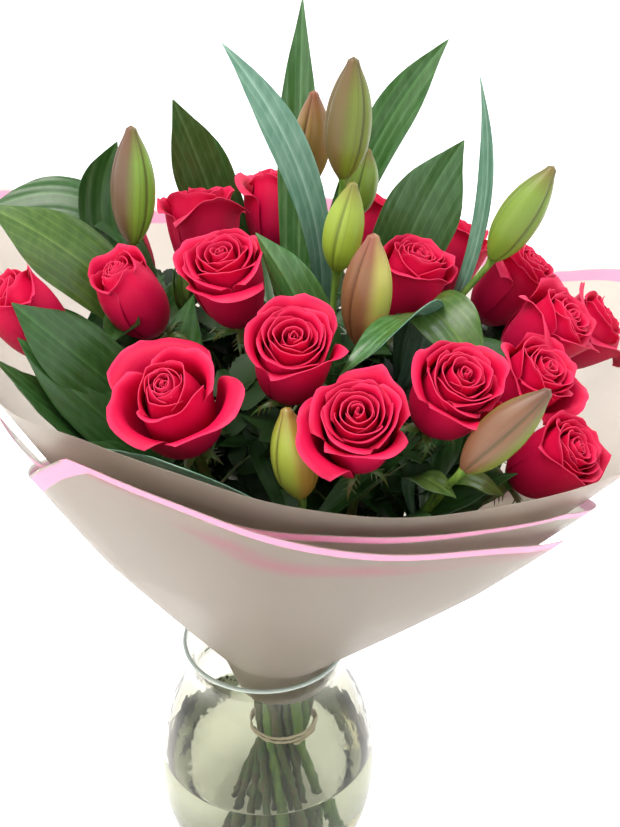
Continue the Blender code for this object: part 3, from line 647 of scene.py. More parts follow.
def assemble(name, parts, finishes, slot, *nodes):
    """One object made of parts, instead of nodes; its points' places are kept for the finishes to read."""
    points = np.concatenate([part[0] for part in parts]) * MM
    places = np.concatenate([part[3] for part in parts])
    faces, slots, start = [], [], 0
    for part in parts:
        faces += [[corner + start for corner in face] for face in part[1]]
        slots += list(part[2])
        start += len(part[0])
    mesh = bpy.data.meshes.new(name)
    mesh.from_pydata(points.tolist(), [], faces)
    for finish in finishes:
        mesh.materials.append(finish)
    mesh.polygons.foreach_set("material_index", slots)
    attribute = mesh.attributes.new("place", "FLOAT_VECTOR", "POINT")
    attribute.data.foreach_set("vector", places.astype(np.float32).ravel())
    mesh.shade_smooth()
    mesh.set_sharp_from_angle(angle=math.radians(60))
    thing = bpy.data.objects.new(name, mesh)
    bpy.context.scene.collection.objects.link(thing)
    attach(thing, "root")
    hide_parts(*nodes)


def blade(grid, thickness, places, finishes=(0, 1), closed=False):
    """A thin closed blade about a grid of points; finishes are those of its face and of its back."""
    rows, columns, _ = grid.shape
    spans = columns if closed else columns - 1
    along = np.gradient(grid, axis=0)
    if closed:
        across = np.roll(grid, -1, axis=1) - np.roll(grid, 1, axis=1)
    else:
        across = np.gradient(grid, axis=1)
    half = unit(np.cross(along, across)) * thickness / 2
    points = np.concatenate([(grid + half).reshape(-1, 3), (grid - half).reshape(-1, 3)])
    under = rows * columns
    r, c = (index.ravel() for index in np.meshgrid(np.arange(rows - 1), np.arange(spans), indexing="ij"))
    d = (c + 1) % columns
    near_left, near_right = r * columns + c, r * columns + d
    far_left, far_right = near_left + columns, near_right + columns
    face = np.stack([near_left, far_left, far_right, near_right], axis=1)
    back = np.stack([near_left, near_right, far_right, far_left], axis=1) + under
    foot = [(c, (c + 1) % columns) for c in range(spans)]
    ring = foot + [((rows - 1) * columns + j, (rows - 1) * columns + i) for i, j in foot]
    if not closed:
        ring += [(r * columns + columns - 1, (r + 1) * columns + columns - 1) for r in range(rows - 1)]
        ring += [((r + 1) * columns, r * columns) for r in range(rows - 1)]
    edge = np.array([(i, j, under + j, under + i) for i, j in ring])
    if np.einsum("ij,j->", half.reshape(-1, 3), VIEWER) < 0:
        finishes = finishes[::-1]
    slots = [finishes[0]] * len(face) + [finishes[1]] * (len(back) + len(edge))
    return points, np.concatenate([face, back, edge]).tolist(), slots, np.concatenate([places, places])


def tube_faces(rows, count):
    """The faces between rings of points, one ring for each row."""
    faces = []
    for r in range(rows - 1):
        for i in range(count):
            j = (i + 1) % count
            faces.append([r * count + i, r * count + j, (r + 1) * count + j, (r + 1) * count + i])
    return faces


def capped_faces(rows, count):
    """The faces between rings of points, with the first and the last ring closed."""
    first = list(range(count))[::-1]
    last = list(range((rows - 1) * count, rows * count))
    return tube_faces(rows, count) + [first, last]


def rod(path, radii, count=12, finish=0):
    """A round closed rod along a path, with a radius at each point."""
    path = np.array(path, float)
    sides, ups = frames(path)
    radii = np.array(radii, float)[:, None, None]
    angle = 2 * np.pi * np.arange(count) / count
    ring = sides[:, None] * np.cos(angle)[None, :, None] + ups[:, None] * np.sin(angle)[None, :, None]
    points = (path[:, None] + ring * radii).reshape(-1, 3)
    faces = tube_faces(len(path), count)
    points = np.concatenate([points, path[:1], path[-1:]])
    first, last = len(points) - 2, len(points) - 1
    top = (len(path) - 1) * count
    faces += [[first, (i + 1) % count, i] for i in range(count)]
    faces += [[last, top + i, top + (i + 1) % count] for i in range(count)]
    return points, faces, [finish] * len(faces), np.zeros((len(points), 3))


def turned_part(rows, count=96):
    """A closed turned part from (radius, height) rows, from its foot's middle to its top's middle."""
    angle = 2 * np.pi * np.arange(count) / count
    points = [(r * math.cos(a), r * math.sin(a), z) for r, z in rows for a in angle]
    faces = capped_faces(len(rows), count)
    return np.array(points), faces, [0] * len(faces), np.zeros((len(points), 3))


# Stems

def packed(starts, radii):
    """Places of the stems round the tie's centre: drawn together in steps, and parted where they meet."""
    places = np.array(starts, float)
    need = np.add.outer(radii, radii) + STEM_CLEARANCE
    for step in range(PACKING_STEPS):
        if step < DRAWING_STEPS:
            places *= DRAWING
        for i in range(len(places)):
            for j in range(i):
                apart = places[i] - places[j]
                distance = max(math.hypot(*apart), 0.01)
                short = need[i, j] - distance
                if short > 0:
                    places[i] += apart / distance * short * 0.5
                    places[j] -= apart / distance * short * 0.5
    return places


def turned(place, angle):
    """A place in plan, turned round the origin."""
    c, s = math.cos(angle), math.sin(angle)
    return (place[0] * c - place[1] * s, place[0] * s + place[1] * c)


def stem_starts(heads):
    """Each stem's foot on the vase's floor and its place in the tie, for heads of (place, stem's radius)."""
    radii = [radius for _, radius in heads]
    starts = []
    for head, _ in heads:
        drawn = ((head[0] - HEADS_CENTRE[0]) * HEADS_SHRINK, (head[1] - HEADS_CENTRE[1]) * HEADS_SHRINK)
        starts.append(turned(drawn, SPIRAL))
    result = []
    for place, radius in zip(packed(starts, radii), radii):
        tie = np.array((TIE_CENTRE[0] + place[0], TIE_CENTRE[1] + place[1], TIE_HEIGHT))
        spread = turned(place * FOOT_SPREAD, SPIRAL)
        foot_height = VASE_FLOOR + FOOT_CLEARANCE + FOOT_LIFT * radius
        foot = np.array((FOOT_CENTRE[0] + spread[0], FOOT_CENTRE[1] + spread[1], foot_height))
        result.append((foot, tie))
    return result


def stem_path(start, head, axis, samples):
    """Points from the foot through the tie to the head, which the stem meets along the head's axis."""
    foot, tie = start
    length = np.linalg.norm(head - tie)
    rise = unit(tie - foot)
    first = tie + unit(rise + 1.5 * UP) * length * 0.33
    second = head - axis * length * 0.4
    t = np.linspace(0, 1, samples)[:, None]
    upper = tie * (1 - t) ** 3 + first * 3 * t * (1 - t) ** 2 + second * 3 * t**2 * (1 - t) + head * t**3
    lower = foot + (tie - foot) * np.linspace(0, 1, 8)[:-1, None]
    return np.concatenate([lower, upper]), upper


def thorn(root, way, along, length):
    """A flat-based thorn that hooks a little down the stem."""
    middle = root + way * length * 0.5 - along * 0.3
    point = root + way * length - along * length * 0.45
    return rod([root - way * 1.0, middle, point], [1.7, 0.8, 0.06], count=6, finish=1)


def thorns(path, dice):
    """Thorns scattered up a stem."""
    parts = []
    sides, ups = frames(path)
    first, last = THORNY
    for i in range(THORNS):
        at = int(len(path) * (first + (last - first) * (i + dice.random()) / THORNS))
        at = min(at, len(path) - 2)
        angle = dice.uniform(0, 2 * math.pi)
        way = sides[at] * math.cos(angle) + ups[at] * math.sin(angle)
        along = unit(path[at + 1] - path[at])
        root = path[at] + way * (ROSE_STEM - 0.6)
        parts.append(thorn(root, way, along, THORN_LENGTH * dice.uniform(0.7, 1.2)))
    return parts


# Leaves

def leaf_grid(root, middle, tip, width, across, fold, outline, wave=0.0, rows=30, columns=PLAIN_COLUMNS):
    """A leaf's points and places: a bowed centre line through root, middle and tip, whose halves fold up.

    A place is (distance from the root, distance from the midrib, share of the way to the edge).
    """
    root, middle, tip = np.array(root, float), np.array(middle, float), np.array(tip, float)
    lower, upper = np.linalg.norm(middle - root), np.linalg.norm(tip - middle)
    half_way = min(max(lower / (lower + upper), 0.3), 0.8)
    share = np.linspace(0, 1, rows)[:, None]
    t = np.interp(share, [0, 0.5, 1], [0, half_way, 1])
    bow = (middle - root * (1 - half_way) ** 2 - tip * half_way**2) / (2 * half_way * (1 - half_way))
    centre = root * (1 - t) ** 2 + bow * 2 * t * (1 - t) + tip * t**2
    along = unit((bow - root) * (1 - t) + (tip - bow) * t)
    across = np.array(across, float)
    side = unit(across - along * (along @ across)[:, None])
    up = np.cross(side, along)
    half = smooth(outline, share[:, 0])[:, None] * width / 2
    v = np.linspace(-1, 1, columns)[None, :]
    spread = np.sin(v * 1.35) / math.sin(1.35)
    lift = half * fold * (np.sqrt(spread**2 + 0.02) - 0.14)
    groove = -0.5 * np.exp(-((v * half / 1.3) ** 2)) * np.minimum(half / 4, 1)
    ripple = wave * half * np.abs(v) ** 2 * np.sin(9 * share + 2.2 * v + width)
    lift = lift + groove + ripple
    if columns > PLAIN_COLUMNS:
        lift += PLEAT_DEPTH * np.cos(2 * np.pi * spread * half / PLEAT_SPACING) * np.minimum(half / 9, 1)
    grid = centre[:, None] + side[:, None] * (spread * half)[..., None]
    grid = grid + up[:, None] * lift[..., None]
    places = np.stack([t * (lower + upper) + 0 * v, spread * half, 0 * t + np.abs(v)], axis=-1)
    return grid, places.reshape(-1, 3)


def lily_leaf(root, middle, tip, width, across, fold, outline, finishes, columns=PLEATED_COLUMNS):
    """A lily leaf: a long blade, which is pleated along its veins where it has the columns for it."""
    shape = LEAF_OUTLINE[outline]
    grid, places = leaf_grid(root, middle, tip, width, across, fold, shape, 0.06, columns=columns)
    return blade(grid, LEAF_THICKNESS, places, finishes)


def leaflet(root, tip, width, across, finishes, dice):
    """A rose leaflet: oval, with a toothed edge, arched and a little folded."""
    root, tip = np.array(root, float), np.array(tip, float)
    arch = np.linalg.norm(tip - root) * dice.uniform(0.02, 0.14)
    middle = (root + tip) / 2 + UP * arch
    rows, columns = 17, 5
    grid, places = leaf_grid(root, middle, tip, width, across, 0.25, LEAFLET_OUTLINE, 0.05, rows, columns)
    teeth = 1 + 0.1 * (np.arange(rows) % 2)
    midrib = grid[:, columns // 2 : columns // 2 + 1]
    grid = midrib + (grid - midrib) * teeth[:, None, None]
    return blade(grid, LEAFLET_THICKNESS, places, finishes)


def inward(root, way, reach):
    """A leaf's way, turned back towards the middle of the bundle if its reach would meet the film."""
    middle = np.array((*RIM_CENTRE, root[2]))
    end = root + way * reach
    room = ROOM_RADIUS + ROOM_SLOPE * (end[2] - ROOM_HEIGHT)
    if np.linalg.norm((end - middle)[:2]) > room:
        way = unit(way + unit(middle - root) * 1.2)
    return way


def rose_leaf(root, way, size, dice):
    """A rose leaf: a thin stalk with a leaflet at its end and two pairs along it."""
    way = unit(np.array(way, float))
    side = unit(np.cross(way, UP))
    end = root + way * size + UP * size * 0.1
    parts = [rod([root, (root + end) / 2 + UP * size * 0.06, end], [1.1, 0.8, 0.6], count=6)]
    parts.append(leaflet(end, end + way * size * 0.75 - UP * size * 0.12, size * 0.5, side, (3, 4), dice))
    for at, share in ((0.9, 0.62), (0.5, 0.5)):
        for hand in (-1, 1):
            start = root + (end - root) * at
            aim = unit(way * 0.6 + side * hand + UP * dice.uniform(-0.2, 0.2))
            length = size * share
            flat = unit(np.cross(aim, np.cross(side, way)))
            parts.append(leaflet(start, start + aim * length, length * 0.62, flat, (3, 4), dice))
    return parts


# Roses

def petal(share, turn, height, radius, opening, fall, dice):
    """One rose petal's points and places; share runs from 0 at the heart to 1 outermost.

    Its centre line turns by a slope angle from the calyx outwards and up, and its free edge rolls back.
    A place is (height, share of the way to a side, share of the way to the rim).
    """
    u = np.linspace(-1, 1, PETAL_GRID)[None, :]
    s = 1 - (1 - np.linspace(0, 1, PETAL_GRID)[:, None]) ** 1.25
    limp = fall * share**6
    shut = (1 - opening) ** 2 * (1 - limp)
    knots = [0.0, 0.25, 0.5, 0.75, 1.0]
    opened = [16, 54 - 6 * limp, 84 - 18 * limp, 92 + 20 * shut - 28 * limp, 88 + 62 * shut - 28 * limp]
    closed_slope = np.interp(s, knots, [70, 84, 93, 101, 106])
    open_slope = np.interp(s, knots, opened)
    slope = closed_slope + (open_slope - closed_slope) * share**0.8
    ajar = 12 * opening * math.sin(math.pi * share)
    slope = slope - ajar * np.clip((s - 0.4) / 0.6, 0, 1)
    phase = dice.uniform(0, 6)
    uneven = 1 + 0.35 * np.sin(2.6 * u + phase)
    middle_roll = (6 + (34 + 90 * limp) * share * dice.uniform(0.5, 1.2)) * uneven
    side_roll = (12 + (48 + 70 * limp) * share * dice.uniform(0.7, 1.3)) * uneven
    roll = middle_roll + (side_roll - middle_roll) * np.abs(u) ** 2
    start = 0.95 - 0.05 * share - 0.14 * limp
    slope = slope - roll * np.clip((s - start) / (1 - start), 0, 1) ** 1.15

    # The free edge: rounded at the sides, a little skewed and scalloped, and drawn to a point
    skew = dice.uniform(-0.05, 0.05) * share
    scallop = 0.012 * np.sin(9 * u + phase) + 0.02 * np.sin(4.3 * u - phase)
    point = 0.035 * share * np.exp(-(((u - dice.uniform(-0.3, 0.3)) / 0.12) ** 2))
    rounding = (0.03 + 0.08 * share) * np.abs(u) ** 3
    top = 1 - rounding + skew * u + scallop * (0.3 + 0.7 * share) + point
    length = height * (0.94 + 0.14 * share) * top

    # The centre line: how far out and up each row lies
    step = np.diff(s, axis=0, prepend=0)
    angle = np.radians(slope)
    out = radius * (0.05 + 0.08 * share) + np.cumsum(np.cos(angle) * step * length, axis=0)
    rise = height * 0.06 * (1 - share) + np.cumsum(np.sin(angle) * step * length, axis=0)
    out = np.maximum(out, 0.6)

    # How far each row reaches round the head, with one side tucked in and a rippled edge
    outline = np.interp(s, [0, 0.2, 0.45, 0.7, 0.88, 1.0], [0.25, 0.6, 0.9, 1.0, 1.0, 0.9])
    width = radius * (0.5 + 0.78 * share) * outline
    most = 2.5 - 0.9 * share
    half = most * np.tanh(width / (np.maximum(out, radius * 0.12) * most))
    tuck = 0.1 - 0.04 * share
    ripple = (0.03 * np.sin(3 * u + phase) + 0.012 * np.sin(8 * u + 2 * phase)) * s**4 * (0.3 + 0.7 * share)
    out = out * (1 + tuck * u) + radius * (0.05 * share * s**1.5 * np.abs(u) ** 2.5 + ripple)
    theta = turn + u * half
    grid = np.stack([out * np.cos(theta), out * np.sin(theta), rise + 0 * theta], axis=-1)
    rim = np.maximum(s + 0 * u, np.abs(u) * np.clip(s * 1.6 - 0.3, 0, 1))
    places = np.stack([rise / height + 0 * theta, np.abs(u) + 0 * s, rim], axis=-1)
    return grid, places.reshape(-1, 3)


def calyx(spec):
    """Where a rose's petals meet its calyx, and the way that its head faces."""
    centre, bearing, tilt, width = spec[:4]
    axis = direction(bearing, tilt)
    return np.array(centre, float) - axis * width * BLOOM_HEIGHT / 2, axis


def rose_bloom(number, spec):
    """A rose's petals, laid round its heart one after another by the golden angle."""
    head, axis = calyx(spec)
    width, turn, opening, fall = spec[3:]
    dice = random.Random(PETAL_SEED + number)
    turn_to = upright_to(axis)
    parts = []
    for i in range(PETALS):
        share = min(max(i / (PETALS - 1) + dice.uniform(-0.012, 0.012), 0), 1)
        round_heart = math.radians(turn + GOLDEN_ANGLE * i + dice.uniform(-8, 8))
        tall = width * BLOOM_HEIGHT * dice.uniform(0.95, 1.02)
        wide = width / 2 * dice.uniform(0.96, 1.03)
        grid, places = petal(share, round_heart, tall, wide, opening, fall, dice)
        parts.append(blade(grid @ turn_to.T + head, PETAL_THICKNESS, places, (0, 0)))
    assemble(f"rose_petals_{number:02d}", parts, [FINISH["petal"]], "rose_petal", f"rose_bloom_{number:02d}")


def sepal(head, axis, aim, dice):
    """A pointed sepal that leaves the calyx sideways and turns down, with a few fine side lobes."""
    root = head - axis * 4.0 + aim * 3.5
    middle = head - axis * (1.0 + 3 * dice.random()) + aim * SEPAL_LENGTH * 0.6
    down, out = SEPAL_LENGTH * dice.uniform(0.2, 0.75), SEPAL_LENGTH * dice.uniform(0.85, 1.1)
    tip = head - axis * down + aim * out
    across = np.cross(axis, aim)
    grid, places = leaf_grid(root, middle, tip, SEPAL_WIDTH, across, 0.3, SEPAL_OUTLINE, 0.05, 14, 5)
    parts = [blade(grid, SEPAL_THICKNESS, places, (0, 2))]
    for at in (5, 7, 9):
        for column, hand in ((0, -1), (4, 1)):
            start = grid[at, column]
            way = unit(across * hand + unit(tip - root) * 0.9)
            parts.append(rod([start - way * 0.5, start + way * 2.0, start + way * 4.2], [0.5, 0.35, 0.05], 4))
    return parts


def rosebud(root, foot, tip, dice):
    """A side shoot that ends in a tight green bud, its sepals still closed round it."""
    foot, tip = np.array(foot, float), np.array(tip, float)
    axis = unit(tip - foot)
    length = np.linalg.norm(tip - foot)
    parts = [rod([root, root + (foot - root) * 0.6, foot, foot + axis * 2], [1.3, 1.3, 1.6, 2.2], 8)]
    shares = [0, 0.1, 0.3, 0.5, 0.7, 0.88, 1.0]
    radii = smooth([(0, 2.2), (0.15, 4.6), (0.35, 5.6), (0.7, 4.0), (1.0, 0.4)], shares)
    parts.append(rod([foot + (tip - foot) * share for share in shares], radii, 10, 2))
    for aim in five_ways(axis, (1.0, 0.2, 0.1), 0):
        start = foot + aim * 2.0
        middle = foot + axis * length * 0.5 + aim * 6.3
        end = tip + axis * dice.uniform(0, 7) + aim * dice.uniform(0.5, 3)
        across = np.cross(axis, aim)
        grid, places = leaf_grid(start, middle, end, 7.5, across, 0.3, SEPAL_OUTLINE, rows=12, columns=5)
        parts.append(blade(grid, SEPAL_THICKNESS, places, (0, 0)))
    return parts


def rose_stem(number, start, spec):
    """A rose's stem with its calyx, sepals, thorns and leaves, and a side bud where the table gives one."""
    bearing, tilt, _, turn = spec[1:5]
    dice = random.Random(STEM_SEED + number)
    head, axis = calyx(spec)
    foot, *rows = [head - axis * below for below, _ in CALYX]
    path, upper = stem_path(start, foot, direction(bearing, tilt * STEM_LEAN), 24)
    radii = [ROSE_STEM] * (len(path) - 1) + [radius for _, radius in CALYX]
    parts = [rod(np.concatenate([path, rows]), radii)]
    parts += thorns(upper, dice)
    for aim in five_ways(axis, (0.3, 0.2, 1.0), turn):
        parts += sepal(head, axis, aim, dice)
    first = dice.uniform(0, 360)
    for i, share in enumerate(LEAFY):
        root = path_point(upper, share)
        way = direction(first + GOLDEN_ANGLE * i, 66 - 6 * i)
        parts += rose_leaf(root, inward(root, way, ROSE_LEAF_REACH), dice.uniform(36, 46), dice)
    if number - 1 in ROSEBUDS:
        parts += rosebud(path_point(upper, 0.75), *ROSEBUDS[number - 1], dice)
    finishes = [FINISH[name] for name in ("rose stem", "thorn", "sepal back", "rose leaf", "rose leaf back")]
    assemble(f"rose_green_{number:02d}", parts, finishes, "leaf_green", f"rose_stem_{number:02d}")


# Lilies

def lily_bud(number, foot, tip, width, skin):
    """A closed lily bud: three outer tepals with a rounded keel each, which meet in grooves.

    A place is (share of the length, depth of a groove or strength of a rib, how far it faces the sun).
    """
    foot, tip = np.array(foot, float), np.array(tip, float)
    length = np.linalg.norm(tip - foot)
    turn_to = upright_to(unit(tip - foot))
    rows, count = 36, 54
    up = np.linspace(0, 1, rows)[:, None]
    angle = 2 * np.pi * np.arange(count)[None, :] / count
    seam = np.abs(np.sin(1.5 * (angle - 1.7 * number)))
    groove = np.exp(-((seam / 0.16) ** 2))
    keel = np.exp(-(((1 - seam) / 0.05) ** 2))
    ribs = 0.62 * np.exp(-(((seam - 0.6) / 0.06) ** 2)) + 0.5 * np.exp(-(((seam - 0.92) / 0.03) ** 2))
    body = smooth(BUD_OUTLINE, up[:, 0])[:, None] * width / 2
    radius = body * (1 + 0.05 * seam - 0.13 * groove + 0.03 * keel)
    swing = angle + 0.25 * up
    bend = length * 0.03 * np.sin(np.pi * up)
    grid = np.stack([radius * np.cos(swing) + bend, radius * np.sin(swing), up * length + 0 * angle], axis=-1)
    grid = grid @ turn_to.T + foot
    ring = np.stack([np.cos(angle), np.sin(angle), 0 * angle], axis=-1) @ turn_to.T
    facing = ring @ direction(BUD_SUN.get(skin, OTHER_BUD_SUN), 90)
    places = np.stack([up + 0 * angle, groove + ribs + 0 * up, 0.5 + 0.5 * facing + 0 * up], axis=-1)
    faces = capped_faces(rows, count)
    part = (grid.reshape(-1, 3), faces, [0] * len(faces), places.reshape(-1, 3))
    assemble(f"lily_tepals_{number:02d}", [part], [FINISH[skin]], "lily_bud_green", f"lily_bud_{number:02d}")


def lily(number, start, spec, bud_number):
    """A lily's stem with its bud stalks and leaves, and its buds, the first of which has the number given."""
    top = np.array(spec["top"], float)
    path, upper = stem_path(start, top, direction(*spec["lean"]), 28)
    ends = [0, len(path) - 6, len(path) - 1]
    radii = np.interp(np.arange(len(path)), ends, [LILY_STEM, LILY_STEM, 3.0])
    parts = [rod(path, radii, 14)]
    for at, (place, tip, width, skin) in enumerate(spec["buds"]):
        foot, end = np.array(place, float), np.array(tip, float)
        axis = unit(end - foot)
        root = path_point(upper, 0.99 if at == 0 else 0.9 - 0.06 * at)
        collar = foot - axis * 5
        stalk = [root, root + (collar - root) * 0.55 - axis * 2, collar, foot - axis * 2, foot + axis * 0.6]
        parts.append(rod(stalk, [2.3, 2.0, 2.0, 2.5, 3.4], 12))
        lily_bud(bud_number + at, place, tip, width, skin)
    kinds = ["lily stem"]
    for share, middle, tip, width, across, fold, outline, face, back in spec["leaves"]:
        for kind in (face, back):
            if kind not in kinds:
                kinds.append(kind)
        finishes = (kinds.index(face), kinds.index(back))
        root = path_point(upper, share)
        parts.append(lily_leaf(root, middle, tip, width, across, fold, outline, finishes))
    if "deep" not in kinds:
        kinds.append("deep")
    parts += filler_leaves(number, upper, kinds.index("deep"))
    finishes = [FINISH[kind] for kind in kinds]
    assemble(f"lily_green_{number:02d}", parts, finishes, "leaf_green", f"lily_stem_{number:02d}")


def filler_leaves(number, path, finish):
    """The plain leaves lower down a lily's stem, which fill the bundle between the heads."""
    dice = random.Random(FILLER_SEED + number)
    parts = []
    for i in range(FILLERS):
        root = path_point(path, 0.42 + 0.045 * i)
        length = dice.uniform(76, 98)
        way = inward(root, direction(GOLDEN_ANGLE * i + 60 * number, dice.uniform(30, 66)), length)
        tip = root + way * length
        tip[2] = min(tip[2], FILLER_TOP)
        middle = root + (tip - root) * 0.5 + UP * dice.uniform(3, 9)
        across = np.cross(way, UP)
        width = dice.uniform(24, 32)
        finishes = (finish, finish)
        parts.append(lily_leaf(root, middle, tip, width, across, 0.2, "broad", finishes, PLAIN_COLUMNS))
    return parts


# Vase, water and twine

def wall(height):
    """The vase's outside radius at a height."""
    return float(smooth(VASE_OUTSIDE, height))


def vase():
    """The vase: a thick foot, a round belly, a narrow neck and a lip rolled smooth in the fire."""
    foot = [(40, 1.2), (43.5, 0.0), (46, 0.2), (48.6, 1.4)]
    outside = [(wall(z), z) for z in np.linspace(3, 202.5, 64)]
    middle = wall(LIP_HEIGHT) - VASE_WALL / 2
    turns = np.linspace(0.2, math.pi - 0.2, 7)
    lip = [(middle + LIP_ROUND * math.cos(a), LIP_HEIGHT + LIP_ROUND * math.sin(a)) for a in turns]
    inside = [(wall(z) - VASE_WALL, z) for z in np.linspace(202, 16, 60)]
    floor = [(48, 12.5), (40, 10.2), (26, 9.3), (10, VASE_FLOOR)]
    rows = foot + outside + lip + inside + floor
    points, faces, slots, places = turned_part(rows)
    count = len(points) // len(rows)
    first = (len(foot) + len(outside) - 1) * count
    last = first + (len(lip) + 1) * count
    slots[first:last] = [1] * (last - first)
    part = (points, faces, slots, places)
    assemble("vase_glass", [part], [FINISH["glass"], FINISH["lip"]], "clear_glass", "vase")


def water():
    """Water in the vase, wetting the glass and drawn up a little at its edge."""
    inside = wall(WATER_LEVEL) - VASE_WALL
    rows = [(10, 9.2), (26, 9.5), (40, 10.4), (47.5, 12.7)]
    rows += [(wall(z) - VASE_WALL + 0.1, z) for z in np.linspace(16, WATER_LEVEL - 0.4, 40)]
    rows.append((inside + 0.1, WATER_LEVEL))
    rows += [(inside - 1.0, WATER_LEVEL - 0.9), (inside - 3.0, WATER_LEVEL - 1.3)]
    rows += [(inside * share, WATER_LEVEL - 1.4) for share in (0.8, 0.5, 0.2, 0.05)]
    assemble("water_body", [turned_part(rows)], [FINISH["water"]], "water", "water")


def twine(starts, radii):
    """Cotton twine of two plies, wound a little over two turns round the bundle."""
    centre = np.array((*TIE_CENTRE, TIE_HEIGHT))
    reach = max(np.linalg.norm(tie - centre) + radius for (_, tie), radius in zip(starts, radii))
    ring = reach + TWINE + TWINE_CLEARANCE
    t = np.linspace(0, 1, 230)
    angle = 2 * np.pi * TWINE_TURNS * t + TWINE_START
    lift = TWINE_PITCH * TWINE_TURNS * (t - 0.5)
    path = centre + np.stack([ring * np.cos(angle), ring * np.sin(angle), lift], axis=-1)
    sides, ups = frames(path)
    parts = []
    for ply in (0.0, math.pi):
        spin = 2 * np.pi * t * PLY_TWISTS + ply
        strand = path + PLY_OFFSET * (sides * np.cos(spin)[:, None] + ups * np.sin(spin)[:, None])
        parts.append(rod(strand, [PLY] * len(strand), 6))
    assemble("twine_plies", parts, [FINISH["twine"]], "twine", "twine")


# Film

def rim_table(column):
    """The rim's radius or height at each bearing, carried on past a full turn at both ends."""
    rows = [(row[0], row[column]) for row in RIM]
    return [(rows[-1][0] - 360, rows[-1][1])] + rows + [(360, rows[0][1]), (380, rows[1][1])]


def film_points(bearing, share, outward):
    """Points of the wrap, for arrays of bearings and shares of the way from its foot to the rim."""
    angle = np.radians(bearing)
    ring = np.stack([np.cos(angle), np.sin(angle), 0 * angle], axis=-1)
    clear = outward * (1 + FILM_PARTING * np.clip(share - FILM_NECK, 0, FILM_PARTED))
    foot = np.array((FILM_FOOT[0], FILM_FOOT[1], FILM_FOOT[3])) + ring * (FILM_FOOT[2] + clear)[..., None]
    lip = np.array((FILM_LIP[0], FILM_LIP[1], FILM_LIP[3])) + ring * (FILM_LIP[2] + clear)[..., None]
    radius = smooth(rim_table(1), bearing % 360) + clear
    rim = ring * radius[..., None] + np.array((*RIM_CENTRE, 0.0))
    rim[..., 2] = smooth(rim_table(2), bearing % 360)
    low = (share / FILM_NECK)[..., None]
    t = ((share - FILM_NECK) / (1 - FILM_NECK))[..., None]
    folds = np.sin(7 * angle + 0.6) + 0.7 * np.sin(11 * angle + 2.0) + 0.5 * np.sin(17 * angle + 4.0)
    swing = 2.0 * folds[..., None] * np.clip(t, 0, 1) * (1.2 - np.clip(t, 0, 1))
    belly = (ring - UP) * FILM_BELLY * 4 * t * (1 - t)
    upper = lip + (rim - lip) * t + belly + ring * swing
    return np.where(low < 1, foot + (lip - foot) * low, upper)


def from_edge(points):
    """How far each row of points lies from the last one, in millimetres, measured down its column."""
    steps = np.linalg.norm(np.diff(points, axis=0), axis=2)
    gone = np.cumsum(steps[::-1], axis=0)[::-1]
    return np.concatenate([gone, 0 * gone[:1]])


def sheet_edges(left, right, share):
    """Bearings of a sheet's two edges at a share of its height."""
    return left[0] + (left[1] - left[0]) * share, right[0] + (right[1] - right[0]) * share


def film_sheet(name, node, outward, side, left, right, top, inner=None):
    """A sheet laid on the cone between two edges, with a band printed along its top and down one side.

    Rows run up from its foot and columns across it. The band lies between the second and third lines of the
    grid from its top and from its side. A place is (share of the way up the film, share of the way across the
    sheet, distance from the pink band painted in where a sheet behind would show through).
    """
    columns = SHEET_COLUMNS
    a = np.linspace(0, 1, columns)
    band = np.array([0, PRINT_MARGIN, PRINT_MARGIN + PRINT_WIDTH])
    high = smooth(top, a)
    rows = np.concatenate([FILM_NECK_ROWS, np.linspace(FILM_NECK, 1, FILM_ROWS)])[:, None]
    stretched = FILM_NECK + (rows - FILM_NECK) / (1 - FILM_NECK) * (high - FILM_NECK)
    share = np.where(rows <= FILM_NECK, rows, stretched)

    # The columns, with the side's band measured round the cone
    start, end = sheet_edges(left, right, share / high)
    away = np.linalg.norm(film_points(start, share, outward)[..., :2] - FILM_LIP[:2], axis=2)
    inset = band / (np.radians(end - start) * away)[..., None] * SIDE_PRINT[side]
    along = inset[..., 2] + (1 - inset[..., 2]) * np.clip((a * (columns - 1) - 2) / (columns - 3), 0, 1)
    along[:, 0] = 0
    along[:, 1] = inset[:, 1, 1]
    if side == "right":
        along = 1 - along[:, ::-1]

    # The rows, with the top's band measured down from the edge, and without those that it would cross
    reach = from_edge(film_points(start + (end - start) * along, share, outward))
    slope = (share[-1] - share[-6]) / reach[-6]
    share[-2] = share[-1] - slope * band[1]
    share[-3] = share[-1] - slope * band[2]
    kept = (share < share[-3] - 0.005).all(axis=1)
    kept[-3:] = True
    share, along = share[kept], along[kept]
    start, end = sheet_edges(left, right, share / high)
    grid = film_points(start + (end - start) * along, share, outward)

    below = np.abs(from_edge(grid) - smooth(inner, along)) if inner else FAR + 0 * share
    places = np.stack([share, along, below], axis=-1).reshape(-1, 3)
    points, faces, slots, places = blade(grid, FILM_THICKNESS, places, (0, 0))
    height, width = len(share) - 1, columns - 1
    printed = 1 if side == "left" else width - 2
    for r in range(height):
        for c in range(width):
            if r == height - 2 or c == printed:
                slots[r * width + c] = slots[(height + r) * width + c] = 1
    part = (points, faces, slots, places)
    assemble(name, [part], [FINISH["film"], FINISH["print"]], "frosted_film", node)


